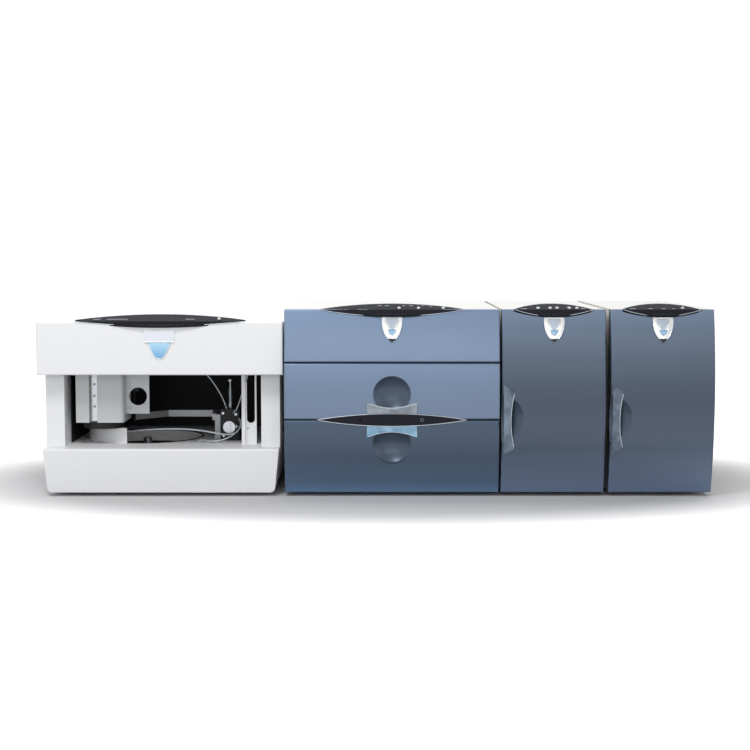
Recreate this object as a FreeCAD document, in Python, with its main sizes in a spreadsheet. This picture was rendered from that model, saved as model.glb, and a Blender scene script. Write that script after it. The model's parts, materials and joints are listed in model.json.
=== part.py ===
import FreeCAD, Part
import os
import re
import Sketcher
from FreeCAD import Vector

# Ion chromatograph: four bench modules in a row, in millimetres.
# X runs along the row, -Y is the front, Z is up and 0 on the bench.

doc = FreeCAD.newDocument("IonChromatograph")
sheet = doc.addObject("Spreadsheet::Sheet", "sizes")

# Driving dimensions, one group for each module or kind of piece
groups = {
    "the row": dict(
        coverWidth=496, wideWidth=433, narrowWidth=209, gapCover=3, gapWide=4, gapNarrow=9,
        footHeight=8, footRadius=14, footInset=45, moduleTop=379, rearFace=268, fit=0.2),
    "blue doors and panels": dict(
        faceRim=-241, bulge=24, doorRim=20, skin=4, doorGap=2.5, seam=2, edgeRound=3,
        panelSeam=272.7, doorSeam=158.2, lipProud=3, lipGap=0.3),
    "chassis": dict(
        chassisInset=2, wall=6, bayDepth=215, shelfHalf=8, hatchMargin=14,
        ventLength=90, ventHeight=4, ventPitch=10, ventDepth=8, inletWidth=48, inletHeight=28, inletDepth=12,
        inletLow=40),
    "keypads": dict(
        padTilt=20, padHalfWidth=30, padThick=5, padBack=18, widePad=147, narrowPad=78.5, coverPad=172,
        padGap=1.5, carrierDrop=30, buttonRadius=3, buttonDepth=3.6, buttonFit=0.3,
        buttonProud=1.5, wideFirst=14.7, wideSecond=53.9, wideThird=103.9, pumpFirst=-29.5, pumpSecond=-5.2,
        pumpThird=8.8, pumpFourth=33.4, pumpFifth=48.8, eluentFirst=44, coverFirst=119),
    "door grips": dict(
        scoopRadius=39, scoopDepth=15, upperScoop=209.4, lowerScoop=104.9, lipHalf=50, lipTall=24,
        lipWaist=12,
        gripBowlRadius=52, gripBowlDepth=16, gripBowlOut=8, gripEdge=4, gripHeight=157, gripHalf=71,
        gripWide=22,
        gripWaist=11, ovalHalf=152, ovalRise=12.7, ovalGap=1.5),
    "hinges": dict(
        pinRadius=2, pinFit=0.08, pinLength=12.5, pinEnd=0.5, hingeSide=8, hingeDeep=12, hingeSpread=60,
        eyeHalf=2.5,
        eyeHeight=12, eyeWidth=6, lugHeight=6, lugGap=0.5, wideHingeDeep=8, upperHingeDrop=10,
        lowerHingeDrop=7, flangeRelief=8, flangeTrim=6, padTipRelief=12),
    "badges": dict(
        plateHalf=30, plateLow=313, plateHigh=344, dropHalf=23, dropTall=33,
        badgeHalf=21, badgeTall=54, badgeTop=368, badgeThick=3),
    "autosampler shell": dict(
        baseHalf=239, baseTaper=8, baseRound=10, baseTop=97, baseFront=-243, ledgeRound=5, shellRear=255,
        coverBottom=246.8, coverTop=353.5, coverFront=-245, coverWall=8, pillarFront=-205, pillarWide=38,
        cavityRear=150, housingTop=345, cavityTop=339, linerFront=-140, linerWall=3, plinthRise=4),
    "carousel": dict(
        wellAcross=-56.5, wellBack=-38, wellRadius=118, wellFloor=52, carouselGap=4, carouselHigh=22,
        carouselLift=6, spindleRadius=9, spindleFit=0.08, troughInner=30, troughRim=7, troughDeep=16,
        guardGap=3, guardWall=3, guardHigh=32, guardStart=195, guardEnd=258),
    "sampling arm": dict(
        armLeft=-180.5, armRight=-82.5, armFront=-190, armRear=-95, armBottom=144, slotLeft=27, slotWide=17,
        slotDepth=18, railWide=11, railThick=3, armRound=9, capRadius=42, capHigh=14, plateWide=49,
        plateFront=-165, plateThick=4, plateBottom=160, holeRadius=18.7, holeHigh=196, holeAcross=26,
        carriageWide=24, carriageDeep=40, carriageLow=205, carriageHigh=40, runningGap=0.4, needleRadius=1.6,
        needleTip=140),
    "valve and syringe": dict(
        valveLeft=107.5, valveWide=40, valveFront=-112, valveDeep=52, valveHigh=66, rotorRadius=13,
        rotorLong=14,
        rotorHigh=30, rotorStem=5, bracketWide=14, barHigh=14, barThick=5, barLift=38, barSpan=110,
        barBend=62, syringeRadius=4.5, syringeBore=3.4, syringeHigh=46, plungerRadius=3.1, rodRadius=1.4,
        rodHigh=12, knobRadius=5, knobHigh=4,
        panelLeft=158.5, panelWide=30, panelFront=-168, panelThick=3, postDeep=9, postWide=7, panelTop=330,
        panelSlot=8.2, panelSlotLow=141),
    "behind the doors": dict(
        columnRadius=12, columnStand=110, columnCap=15, columnCapLong=16, columnPitch=50,
        injectorRadius=24, injectorNose=14.4,
        injectorDeep=38, detectorWide=110, detectorHigh=60, detectorDeep=80,
        headWide=96, headHigh=74, headDeep=64, headLow=150, primeRadius=13, primeLong=22, primePitch=48,
        primeStem=4, cartridgeRadius=34, cartridgeLong=190),
}

sizes = {name: value for group in groups.values() for name, value in group.items()}
for row, (name, value) in enumerate(sizes.items(), start=1):
    sheet.set("A%d" % row, name)
    sheet.set("B%d" % row, str(value))
    sheet.setAlias("B%d" % row, name)
doc.recompute()


def bound(text):
    """Give every size name in an expression its sheet."""
    return re.sub(r"[A-Za-z]\w*",
                  lambda word: "sizes." + word.group() if word.group() in sizes else word.group(), text)


def number(text):
    return float(sheet.evalExpression(bound(text)))


def tie(piece, **expressions):
    for prop, text in expressions.items():
        piece.setExpression(prop.replace("_", "."), bound(text))


def place(piece, x="0", y="0", z="0"):
    tie(piece, Placement_Base_x=x, Placement_Base_y=y, Placement_Base_z=z)
    return piece


# Places along the row
rowLength = "(coverWidth + gapCover + wideWidth + gapWide + 2 * narrowWidth + gapNarrow)"
samplerX = f"(-{rowLength} / 2 + coverWidth / 2)"
wideX = f"({samplerX} + coverWidth / 2 + gapCover + wideWidth / 2)"
pumpX = f"({wideX} + wideWidth / 2 + gapWide + narrowWidth / 2)"
eluentX = f"({pumpX} + narrowWidth + gapNarrow)"
midHeight = "((moduleTop + footHeight) / 2)"
halfHeight = "((moduleTop - footHeight) / 2)"
doorBack = "(faceRim + doorRim)"
chassisFront = f"({doorBack} + doorGap)"


def face(height):
    """Y of the bulging blue front at a height."""
    return f"(faceRim - bulge * (1 - (({height} - {midHeight}) / {halfHeight}) ^ 2))"


# Shapes that several pieces share
def box(name, x, y, z):
    """Block between pairs of expressions along X, Y and Z."""
    piece = doc.addObject("Part::Box", name)
    tie(piece, Length=f"{x[1]} - ({x[0]})", Width=f"{y[1]} - ({y[0]})", Height=f"{z[1]} - ({z[0]})")
    return place(piece, x[0], y[0], z[0])


turns = {"x": (Vector(0, 1, 0), 90), "y": (Vector(1, 0, 0), -90), "z": (Vector(0, 0, 1), 0)}


def rod(name, axis, x, y, z, radius, length):
    """Cylinder that starts at a point and runs along an axis."""
    piece = doc.addObject("Part::Cylinder", name)
    direction, angle = turns[axis]
    piece.Placement = FreeCAD.Placement(Vector(), FreeCAD.Rotation(direction, angle))
    tie(piece, Radius=radius, Height=length)
    return place(piece, x, y, z)


def prism(name, axis, x, y, z, radius, length, sides=12):
    """Many-sided rod for feet, nuts and small knobs."""
    piece = doc.addObject("Part::Prism", name)
    piece.Polygon = sides
    direction, angle = turns[axis]
    piece.Placement = FreeCAD.Placement(Vector(), FreeCAD.Rotation(direction, angle))
    tie(piece, Circumradius=radius, Height=length)
    return place(piece, x, y, z)


def join(name, *pieces):
    fused = doc.addObject("Part::MultiFuse", name)
    fused.Shapes = list(pieces)
    fused.Refine = True
    return fused


def cut(name, base, *tools):
    result = doc.addObject("Part::Cut", name)
    result.Base = base
    result.Tool = tools[0] if len(tools) == 1 else join(name + "Tools", *tools)
    result.Refine = True
    return result


def common(name, first, second):
    result = doc.addObject("Part::Common", name)
    result.Base = first
    result.Tool = second
    return result


def sketch(body, name, role, points):
    """Closed outline of lines and arcs. A point is (across, up), or (across, up, viaAcross, viaUp)
    where an arc leaves it through the second pair."""
    plane = [part for part in body.Origin.OriginFeatures if part.Role == role][0]
    outline = body.newObject("Sketcher::SketchObject", name)
    outline.AttachmentSupport = (plane, "")
    outline.MapMode = "FlatFace"
    places = [Vector(number(point[0]), number(point[1]), 0) for point in points]
    count = len(points)
    for i, point in enumerate(points):
        start, end = places[i], places[(i + 1) % count]
        if len(point) == 4:
            via = Vector(number(point[2]), number(point[3]), 0)
            leftward = (via - start).cross(end - start).z > 0
            outline.addGeometry(Part.Arc(start, via, end) if leftward else Part.Arc(end, via, start), False)
        else:
            outline.addGeometry(Part.LineSegment(start, end), False)
    ends = []
    for i in range(count):
        arc = outline.Geometry[i]
        forward = not hasattr(arc, "Radius") or (arc.StartPoint - places[i]).Length < 0.001
        ends.append((1, 2) if forward else (2, 1))
    fixes, texts = [], {}
    for i in range(count):
        following = (i + 1) % count
        fixes.append(Sketcher.Constraint("Coincident", i, ends[i][1], following, ends[following][0]))
    for i, point in enumerate(points):
        for kind, text in (("DistanceX", point[0]), ("DistanceY", point[1])):
            texts[len(fixes)] = text
            fixes.append(Sketcher.Constraint(kind, -1, 1, i, ends[i][0], number(text)))
        if len(point) == 4:
            bend = roundness(point[:2], point[2:], points[(i + 1) % count][:2])
            texts[len(fixes)] = bend
            fixes.append(Sketcher.Constraint("Radius", i, number(bend)))
    outline.addConstraint(fixes)
    for index, text in texts.items():
        outline.setExpression("Constraints[%d]" % index, bound(text))
    return outline


def roundness(start, via, end):
    """Radius of the arc through three points."""
    def reach(first, second):
        return f"sqrt(({first[0]} - {second[0]}) ^ 2 + ({first[1]} - {second[1]}) ^ 2)"
    across = (f"abs(({via[0]} - {start[0]}) * ({end[1]} - {start[1]})"
              f" - ({via[1]} - {start[1]}) * ({end[0]} - {start[0]}))")
    return f"({reach(start, via)} * {reach(via, end)} * {reach(start, end)} / (2 * {across}))"


def slab(name, role, points, length, both=False, back=False):
    """Body padded from one outline, to both sides or to one."""
    body = doc.addObject("PartDesign::Body", name)
    outline = sketch(body, name + "Outline", role, points)
    pad = body.newObject("PartDesign::Pad", name + "Pad")
    pad.Profile = outline
    pad.Midplane = both
    pad.Reversed = back
    tie(pad, Length=length)
    return body


def lens(name, role, half, rise, length, **sides):
    """Oval of two equal arcs."""
    points = [(f"-({half})", "0", "0", f"-({rise})"), (half, "0", "0", rise)]
    return slab(name, role, points, length, **sides)


parts = {}


def keep(piece, label):
    piece.Label = label
    parts[label] = piece
    return piece


# Blue fronts
def frontShell(name, centre, width, low, high):
    """Moulded front: bulging skin with a flange on all four sides, open behind."""
    middle = f"(({low} + {high}) / 2)"
    body = doc.addObject("PartDesign::Body", name)
    outer = sketch(body, name + "Outer", "YZ_Plane", [
        (doorBack, low), (face(low), low, face(middle), middle), (face(high), high), (doorBack, high)])
    pad = body.newObject("PartDesign::Pad", name + "Pad")
    pad.Profile = outer
    pad.Midplane = True
    tie(pad, Length=width)
    doc.recompute()
    front = max(pad.Shape.Faces,
                key=lambda item: item.Area if item.Surface.TypeId == "Part::GeomCylinder" else 0)
    edges = ["Edge%d" % (i + 1) for i, edge in enumerate(pad.Shape.Edges)
             if any(edge.isSame(other) for other in front.Edges)]
    rounding = body.newObject("PartDesign::Fillet", name + "Round")
    rounding.Base = (pad, edges)
    tie(rounding, Radius="edgeRound")
    innerLow, innerHigh = f"({low} + skin)", f"({high} - skin)"
    inner = sketch(body, name + "Inner", "YZ_Plane", [
        (f"({doorBack} + skin)", innerLow),
        (f"({face(innerLow)} + skin)", innerLow, f"({face(middle)} + skin)", middle),
        (f"({face(innerHigh)} + skin)", innerHigh), (f"({doorBack} + skin)", innerHigh)])
    pocket = body.newObject("PartDesign::Pocket", name + "Pocket")
    pocket.Profile = inner
    pocket.Midplane = True
    tie(pocket, Length=f"{width} - 2 * skin")
    return place(body, x=centre)


def padTool(name, centre, top, half, grow, thick, drop):
    """Tilted oval prism in the place of a keypad."""
    tool = lens(name, "XY_Plane", f"({half} + {grow})", f"(padHalfWidth + {grow})", thick)
    tool.Placement = FreeCAD.Placement(Vector(), FreeCAD.Rotation(Vector(1, 0, 0), sizes["padTilt"]))
    tilt = "(padTilt * 1)"
    tool.setExpression("Placement.Rotation.Angle", bound(tilt))
    return place(tool, centre, f"({top[0]}) + sin(padTilt) * ({drop})",
                 f"({top[1]}) - cos(padTilt) * ({drop})")


def group(label, pieces):
    bundle = doc.addObject("Part::Compound", label + "Group")
    bundle.Links = pieces
    return keep(bundle, label)


def keypad(label, centre, top, half, buttons):
    """Oval keypad with a hole for each button, and its buttons."""
    plate = padTool(label + "Plate", centre, top, half, "0", "padThick", "padThick")
    holes = []
    for i, (name, across) in enumerate(buttons):
        holes.append(tiltedRod(f"{label}Hole{i}", centre, top, across, "buttonRadius + buttonFit",
                               "padThick + 2", "padThick + 1"))
        keep(tiltedRod(name + "Stem", centre, top, across, "buttonRadius", "buttonDepth + buttonProud",
                       "buttonDepth"), name)
    return keep(cut(label + "Drilled", plate, *holes), label)


def tiltedRod(name, centre, top, across, radius, length, drop):
    stem = doc.addObject("Part::Prism", name)
    stem.Polygon = 12
    stem.Placement = FreeCAD.Placement(Vector(), FreeCAD.Rotation(Vector(1, 0, 0), sizes["padTilt"]))
    stem.setExpression("Placement.Rotation.Angle", bound("padTilt * 1"))
    tie(stem, Circumradius=radius, Height=length)
    return place(stem, f"{centre} + {across}", f"({top[0]}) + sin(padTilt) * ({drop})",
                 f"({top[1]}) - cos(padTilt) * ({drop})")


def grip(label, centre, low, high, outline):
    """Clear lip that follows the bulge of its door, cut to an outline seen from the front."""
    middle = f"(({low} + {high}) / 2)"
    skinBody = slab(label + "Skin", "YZ_Plane", [
        (face(low), low, face(middle), middle), (face(high), high),
        (f"({face(high)} - lipProud)", high, f"({face(middle)} - lipProud)", middle),
        (f"({face(low)} - lipProud)", low)], "2 * narrowWidth", both=True)
    place(skinBody, x=centre, y="-lipGap")
    prism = place(slab(label + "Outline", "XZ_Plane", outline, "rearFace - faceRim"), x=centre)
    return keep(common(label + "Lip", prism, skinBody), label)


def chassis(label, centre, width, bays, pads):
    """Off-white case with open bays in front, vents and an inlet recess behind."""
    left, right = f"({centre} - {width} / 2 + chassisInset)", f"({centre} + {width} / 2 - chassisInset)"
    case = box(label + "Case", (left, right), (chassisFront, "rearFace"), ("footHeight", "moduleTop"))
    carriers = []
    for i, (top, half) in enumerate(pads):
        block = padTool(f"{label}Carrier{i}", centre, top, half, "(-padGap - 2)", "carrierDrop",
                        "padThick + carrierDrop")
        zone = box(f"{label}Zone{i}", (left, right), (chassisFront, "rearFace"),
                   ("moduleTop - 2 * carrierDrop", "moduleTop + carrierDrop"))
        carriers.append(common(f"{label}Perch{i}", block, zone))
    whole = join(label + "Whole", case, *carriers)
    tools = []
    for i, (top, half) in enumerate(pads):
        tools.append(padTool(f"{label}Seat{i}", centre, top, half, "fit", "3 * carrierDrop", "padThick"))
    for i, (low, high) in enumerate(bays):
        tools.append(box(f"{label}Bay{i}", (f"{left} + wall", f"{right} - wall"),
                         (f"{chassisFront} - 1", f"{chassisFront} + bayDepth"), (low, high)))
    for i in range(6):
        rise = f"({midHeight} + ventPitch * {i})"
        tools.append(box(f"{label}Vent{i}", (f"{centre} - ventLength / 2", f"{centre} + ventLength / 2"),
                         ("rearFace - ventDepth", "rearFace + 1"), (rise, f"{rise} + ventHeight")))
    tools.append(box(label + "InletRecess", (f"{centre} - inletWidth / 2", f"{centre} + inletWidth / 2"),
                     ("rearFace - inletDepth", "rearFace + 1"), ("inletLow", "inletLow + inletHeight")))
    return keep(cut(label + "Cut", whole, *tools), label)


def bracket(name, axis, x, y, z, lean):
    """Arm from the chassis with a pin fixed in its eye. The pin points up for an upright hinge, or
    outward to one side for a level one. The place is the middle of the eye."""
    if axis == "z":
        arm = box(name + "Arm", (f"{x} - eyeHalf", f"{x} + eyeHalf"), (f"{y} - eyeHalf", chassisFront),
                  (f"{z} - eyeHeight / 2", f"{z} + eyeHeight / 2"))
        pin = rod(name + "Pin", "z", x, y, z, "pinRadius", "pinLength")
    else:
        arm = box(name + "Arm", (f"{x} - eyeWidth / 2", f"{x} + eyeWidth / 2"),
                  (f"{y} - eyeHalf", chassisFront),
                  (f"{z} - eyeHalf", f"{z} + eyeHalf"))
        start = x if lean == 1 else f"{x} - pinLength"
        pin = rod(name + "Pin", "x", start, y, z, "pinRadius", "pinLength")
    brackets.append(join(name + "Body", arm, pin))


def behindFace(name, centre, width, low, high):
    """Space inside a door's skin, with the door's own bulge."""
    middle = f"(({low} + {high}) / 2)"
    return place(slab(name, "YZ_Plane", [
        (doorBack, low), (f"({face(low)} + skin / 2)", low, f"({face(middle)} + skin / 2)", middle),
        (f"({face(high)} + skin / 2)", high), (doorBack, high)], width, both=True), x=centre)


def bowlWall(name, centre, width, low, high, x, height, radius, depth):
    """Round boss behind a finger bowl that keeps the skin's thickness."""
    boss = rod(name + "Boss", "y", x, f"{face(height)} - bulge", height, f"{radius} + skin",
               f"bulge + {depth} + skin / 2")
    return common(name, boss, behindFace(name + "Inside", centre, f"{width} - skin", low, high))


def bowlTool(name, x, height, radius, depth):
    """Ball whose cap is a finger bowl with a given rim radius and depth."""
    ball = doc.addObject("Part::Sphere", name)
    reach = f"(({radius} ^ 2 + {depth} ^ 2) / (2 * {depth}))"
    tie(ball, Radius=reach)
    return place(ball, x, f"{face(height)} - ({reach} - {depth})", height)


def padShadow(name, centre):
    """Room that a swinging door leaves under the overhanging keypad, seen from the front."""
    half, tip = "(narrowPad + padGap)", "(moduleTop - padThick * cos(padTilt))"
    outline = [(f"-{half}", tip, "0", f"({tip} - padHalfWidth * sin(padTilt) - padGap)"), (half, tip),
               (half, "(moduleTop + padGap)"), (f"-{half}", "(moduleTop + padGap)")]
    return place(slab(name, "XZ_Plane", outline, "rearFace - faceRim"), x=centre)


def narrowDoor(prefix, centre):
    """Full-height door, hinged on the right, with its finger bowl and clear grip on the left."""
    left, right = f"({centre} - narrowWidth / 2)", f"({centre} + narrowWidth / 2)"
    name = prefix + "Door"
    shell = frontShell(name + "Shell", centre, "narrowWidth", "footHeight", "moduleTop")
    bowlX = f"({left} - gripBowlOut)"
    wall = bowlWall(name + "BowlWall", centre, "narrowWidth", "footHeight", "moduleTop", bowlX, "gripHeight",
                    "gripBowlRadius", "gripBowlDepth")
    bowl = bowlTool(name + "Bowl", bowlX, "gripHeight", "gripBowlRadius", "gripBowlDepth")
    hingeX, hingeY = f"({right} - hingeSide)", "(faceRim - bulge + hingeDeep)"
    lugs, bores, notches = [], [], []
    for i, side in enumerate((-1, 1)):
        hingeZ = f"({midHeight} + {side} * hingeSpread)"
        near = f"({hingeZ} + eyeHeight / 2 + lugGap)"
        lugs.append(box(f"{name}Lug{i}", (f"{hingeX} - eyeHalf - 1", f"{right} - skin / 2"),
                        (f"{face(near)} + skin / 2", f"{hingeY} + eyeHalf + 1"),
                        (near, f"{near} + lugHeight")))
        bores.append(rod(f"{name}Bore{i}", "z", hingeX, hingeY, hingeZ, "pinRadius + pinFit",
                         "pinLength + pinEnd"))
        notches.append(box(f"{name}Notch{i}", (f"{hingeX} + eyeHalf", f"{right} + 1"),
                           (f"{face(hingeZ)} + skin", f"{doorBack} + 1"),
                           (f"{hingeZ} - eyeHeight / 2 - lugGap", f"{hingeZ} + eyeHeight / 2 + lugGap")))
        bracket(f"{prefix}Hinge{i}", "z", hingeX, hingeY, hingeZ, 1)
    seat = padShadow(name + "PadNotch", centre)
    tipRear = ("faceRim + padBack - padTipRelief / 2", f"{doorBack} + 1")
    notches.append(box(name + "TipNotch", (f"{centre} + narrowPad - padTipRelief", f"{right} + 1"), tipRear,
                       ("moduleTop - 2 * skin", "moduleTop + 1")))
    whole = join(name + "Whole", shell, wall, *lugs)
    keep(cut(name + "Cut", whole, bowl, seat, *bores, *notches), prefix + "_door")
    low, high = "(gripHeight - gripHalf)", "(gripHeight + gripHalf)"
    edge = "(-narrowWidth / 2 + gripEdge)"
    grip(prefix + "_door_grip", centre, "footHeight", "moduleTop", [
        (edge, low, f"{edge} - 1", "gripHeight"), (edge, high), (f"{edge} + gripWide", high,
                                                                 f"{edge} + gripWaist", "gripHeight"),
        (f"{edge} + gripWide", low)])


def wideDoor(label, low, high, bowlHeight, side):
    """Half-height door over the full width, hinged at its far edge: 1 hangs from its top, -1 stands on its foot."""
    shell = frontShell(label + "Shell", wideX, "wideWidth", low, high)
    wall = bowlWall(label + "BowlWall", wideX, "wideWidth", low, high, wideX, bowlHeight, "scoopRadius",
                    "scoopDepth")
    ball = bowlTool(label + "Bowl", wideX, bowlHeight, "scoopRadius", "scoopDepth")
    oval = lens(label + "Oval", "XZ_Plane", "(ovalHalf + ovalGap)", "(ovalRise + ovalGap)",
                "rearFace - faceRim")
    place(oval, wideX, "0", "doorSeam")
    hingeZ = f"({high} - upperHingeDrop)" if side == 1 else f"({low} + lowerHingeDrop)"
    hingeY = f"({face(hingeZ)} + wideHingeDeep)"
    flange = (f"{high} - skin - eyeHalf", f"{high} + 1") if side == 1 else (f"{low} - 1",
                                                                            f"{low} + skin + eyeHalf")
    bores, notches = [], []
    for i, end in enumerate((-1, 1)):
        eyeX = f"({wideX} + {end} * (wideWidth / 2 - 1 - pinLength))"
        start = f"{eyeX}" if end == 1 else f"{eyeX} - pinLength - pinEnd"
        bores.append(rod(f"{label}Bore{i}", "x", start, hingeY, hingeZ, "pinRadius + pinFit",
                         "pinLength + pinEnd"))
        notches.append(box(f"{label}Notch{i}", (f"{eyeX} - eyeWidth / 2 - 1.5",
                                                f"{eyeX} + eyeWidth / 2 + 1.5"),
                           (f"{hingeY} - eyeHalf - 1", f"{doorBack} + 1"), flange))
        bracket(f"{label}Hinge{i}", "x", eyeX, hingeY, hingeZ, end)
    trimmed = (f"{low} - 1", f"{low} + flangeTrim") if side == 1 else (f"{high} - flangeTrim", f"{high} + 1")
    notches.append(box(label + "Relief", (f"{wideX} - wideWidth", f"{wideX} + wideWidth"),
                       (f"{hingeY} + flangeRelief", f"{doorBack} + 1"), trimmed))
    whole = join(label + "Whole", shell, wall)
    keep(cut(label + "Cut", whole, ball, oval, *bores, *notches), label)
    near = f"(doorSeam + {side} * (ovalRise - 1))"
    far = f"({near} + {side} * lipTall)"
    waist = f"({near} + {side} * lipWaist)"
    trim = f"(doorSeam + {side} * (ovalRise + 1))"
    outline = [("-lipHalf", near, "0", trim), ("lipHalf", near), ("(lipHalf + 1)", far, "0", waist),
               ("(-lipHalf - 1)", far)]
    grip(label + "_grip", wideX, low, high, outline)


brackets = []
bluePad = ("faceRim + padBack", "moduleTop")
coverPadTop = ("coverFront + padBack", "coverTop + plinthRise")


def wideModule():
    bays = [("footHeight + hatchMargin", "doorSeam - shelfHalf"),
            ("doorSeam + shelfHalf", "panelSeam - hatchMargin / 2")]
    chassis("wide_chassis", wideX, "wideWidth", bays, [(bluePad, "widePad")])
    panel = frontShell("topPanelShell", wideX, "wideWidth", "(panelSeam + seam / 2)", "moduleTop")
    seat = padTool("topPanelSeat", wideX, bluePad, "widePad", "fit", "3 * carrierDrop", "padThick + fit")
    keep(cut("topPanelCut", panel, seat), "top_panel")
    keypad("wide_keypad", wideX, bluePad, "widePad", [
        ("wide_button_left", "wideFirst"), ("wide_button_middle", "wideSecond"),
        ("wide_button_right", "wideThird")])
    wideDoor("upper_door", "(doorSeam + seam / 2)", "(panelSeam - seam / 2)", "upperScoop", 1)
    wideDoor("lower_door", "footHeight", "(doorSeam - seam / 2)", "lowerScoop", -1)
    oval = slab("dividerOval", "XZ_Plane", [("-ovalHalf", "0", "0", "-ovalRise"),
                                            ("ovalHalf", "0", "0", "ovalRise")],
                f"{chassisFront} - {face('doorSeam')} + 1")
    keep(place(oval, wideX, chassisFront, "doorSeam"), "oval_divider")
    columns = []
    for i in range(2):
        x = f"({wideX} - wideWidth / 4 + {i} * columnPitch)"
        y = f"({chassisFront} + bayDepth - columnCap)"
        z = "(footHeight + hatchMargin)"
        tube = rod(f"column{i}", "z", x, y, z, "columnRadius", "columnStand")
        foot = prism(f"columnFoot{i}", "z", x, y, z, "columnCap", "columnCapLong", 6)
        head = prism(f"columnHead{i}", "z", x, y, f"{z} + columnStand - columnCapLong", "columnCap",
                     "columnCapLong", 6)
        columns.append(join(f"columnSet{i}", tube, foot, head))
    group("separation_columns", columns)
    z = "(footHeight + hatchMargin + injectorRadius)"
    base = rod("injectorBase", "y", f"{wideX} + wideWidth / 4",
               f"{chassisFront} + bayDepth - injectorDeep", z, "injectorRadius", "injectorDeep")
    nose = rod("injectorNose", "y", f"{wideX} + wideWidth / 4",
               f"{chassisFront} + bayDepth - 2 * injectorDeep", z, "injectorNose", "injectorDeep")
    keep(join("injectorWhole", base, nose), "injection_valve")
    x = f"({wideX} - wideWidth / 4)"
    block = box("detectorBlock", (f"{x} - detectorWide / 2", f"{x} + detectorWide / 2"),
                (f"{chassisFront} + bayDepth - detectorDeep", f"{chassisFront} + bayDepth"),
                ("doorSeam + shelfHalf", "doorSeam + shelfHalf + detectorHigh"))
    port = rod("detectorPort", "y", x, f"{chassisFront} + bayDepth - detectorDeep - 10",
               "doorSeam + shelfHalf + detectorHigh / 2", "columnRadius", "20")
    keep(join("detectorWhole", block, port), "detector_cell")


def pumpModule():
    chassis("pump_chassis", pumpX, "narrowWidth", [("footHeight + hatchMargin",
                                                    "moduleTop - 2 * hatchMargin")],
                                                    [(bluePad, "narrowPad")])
    keypad("pump_keypad", pumpX, bluePad, "narrowPad", [
        ("pump_button_1", "pumpFirst"), ("pump_button_2", "pumpSecond"), ("pump_button_3", "pumpThird"),
        ("pump_button_4", "pumpFourth"), ("pump_button_5", "pumpFifth")])
    narrowDoor("pump", pumpX)
    back = f"({chassisFront} + bayDepth)"
    block = box("pumpBlock", (f"{pumpX} - headWide / 2", f"{pumpX} + headWide / 2"),
                (f"{back} - headDeep", back), ("headLow", "headLow + headHigh"))
    heads, bores = [], []
    for i, side in enumerate((-1, 1)):
        x = f"({pumpX} + {side} * primePitch / 2)"
        heads.append(rod(f"pumpHead{i}", "y", x, f"{back} - headDeep - primeLong",
                         "headLow + primeRadius + 4", "primeRadius", "primeLong + 5"))
        knobZ = "(headLow + headHigh - primeRadius - 4)"
        bores.append(rod(f"primeBore{i}", "y", x, f"{back} - headDeep - 1", knobZ,
                         "primeStem + fit / 2", "primeLong + 1"))
        head = prism(f"primeHead{i}", "y", x, f"{back} - headDeep - primeLong - 1", knobZ,
                     "primeRadius", "primeLong")
        stem = rod(f"primeStem{i}", "y", x, f"{back} - headDeep - 2", knobZ, "primeStem", "primeLong")
        keep(join(f"primeKnob{i}", head, stem), ("priming_knob_left", "priming_knob_right")[i])
    keep(cut("pumpBlockBored", join("pumpBlockWhole", block, *heads), *bores), "pump_head_block")


def eluentModule():
    chassis("eluent_chassis", eluentX, "narrowWidth", [("footHeight + hatchMargin",
                                                        "moduleTop - 2 * hatchMargin")],
                                                        [(bluePad, "narrowPad")])
    keypad("eluent_keypad", eluentX, bluePad, "narrowPad", [("eluent_button", "eluentFirst")])
    narrowDoor("eluent", eluentX)
    z = "(footHeight + hatchMargin)"
    y = f"({chassisFront} + bayDepth - cartridgeRadius)"
    tank = rod("cartridgeTank", "z", eluentX, y, f"{z} + 10", "cartridgeRadius", "cartridgeLong")
    foot = rod("cartridgeFoot", "z", eluentX, y, z, "cartridgeRadius - 6", "12")
    neck = rod("cartridgeNeck", "z", eluentX, y, f"{z} + 10 + cartridgeLong", "columnRadius", "columnCapLong")
    keep(join("cartridgeWhole", tank, foot, neck), "eluent_cartridge")


def at(across):
    """X of a place in the autosampler, from the module's middle."""
    return f"({samplerX} + {across})"


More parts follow.
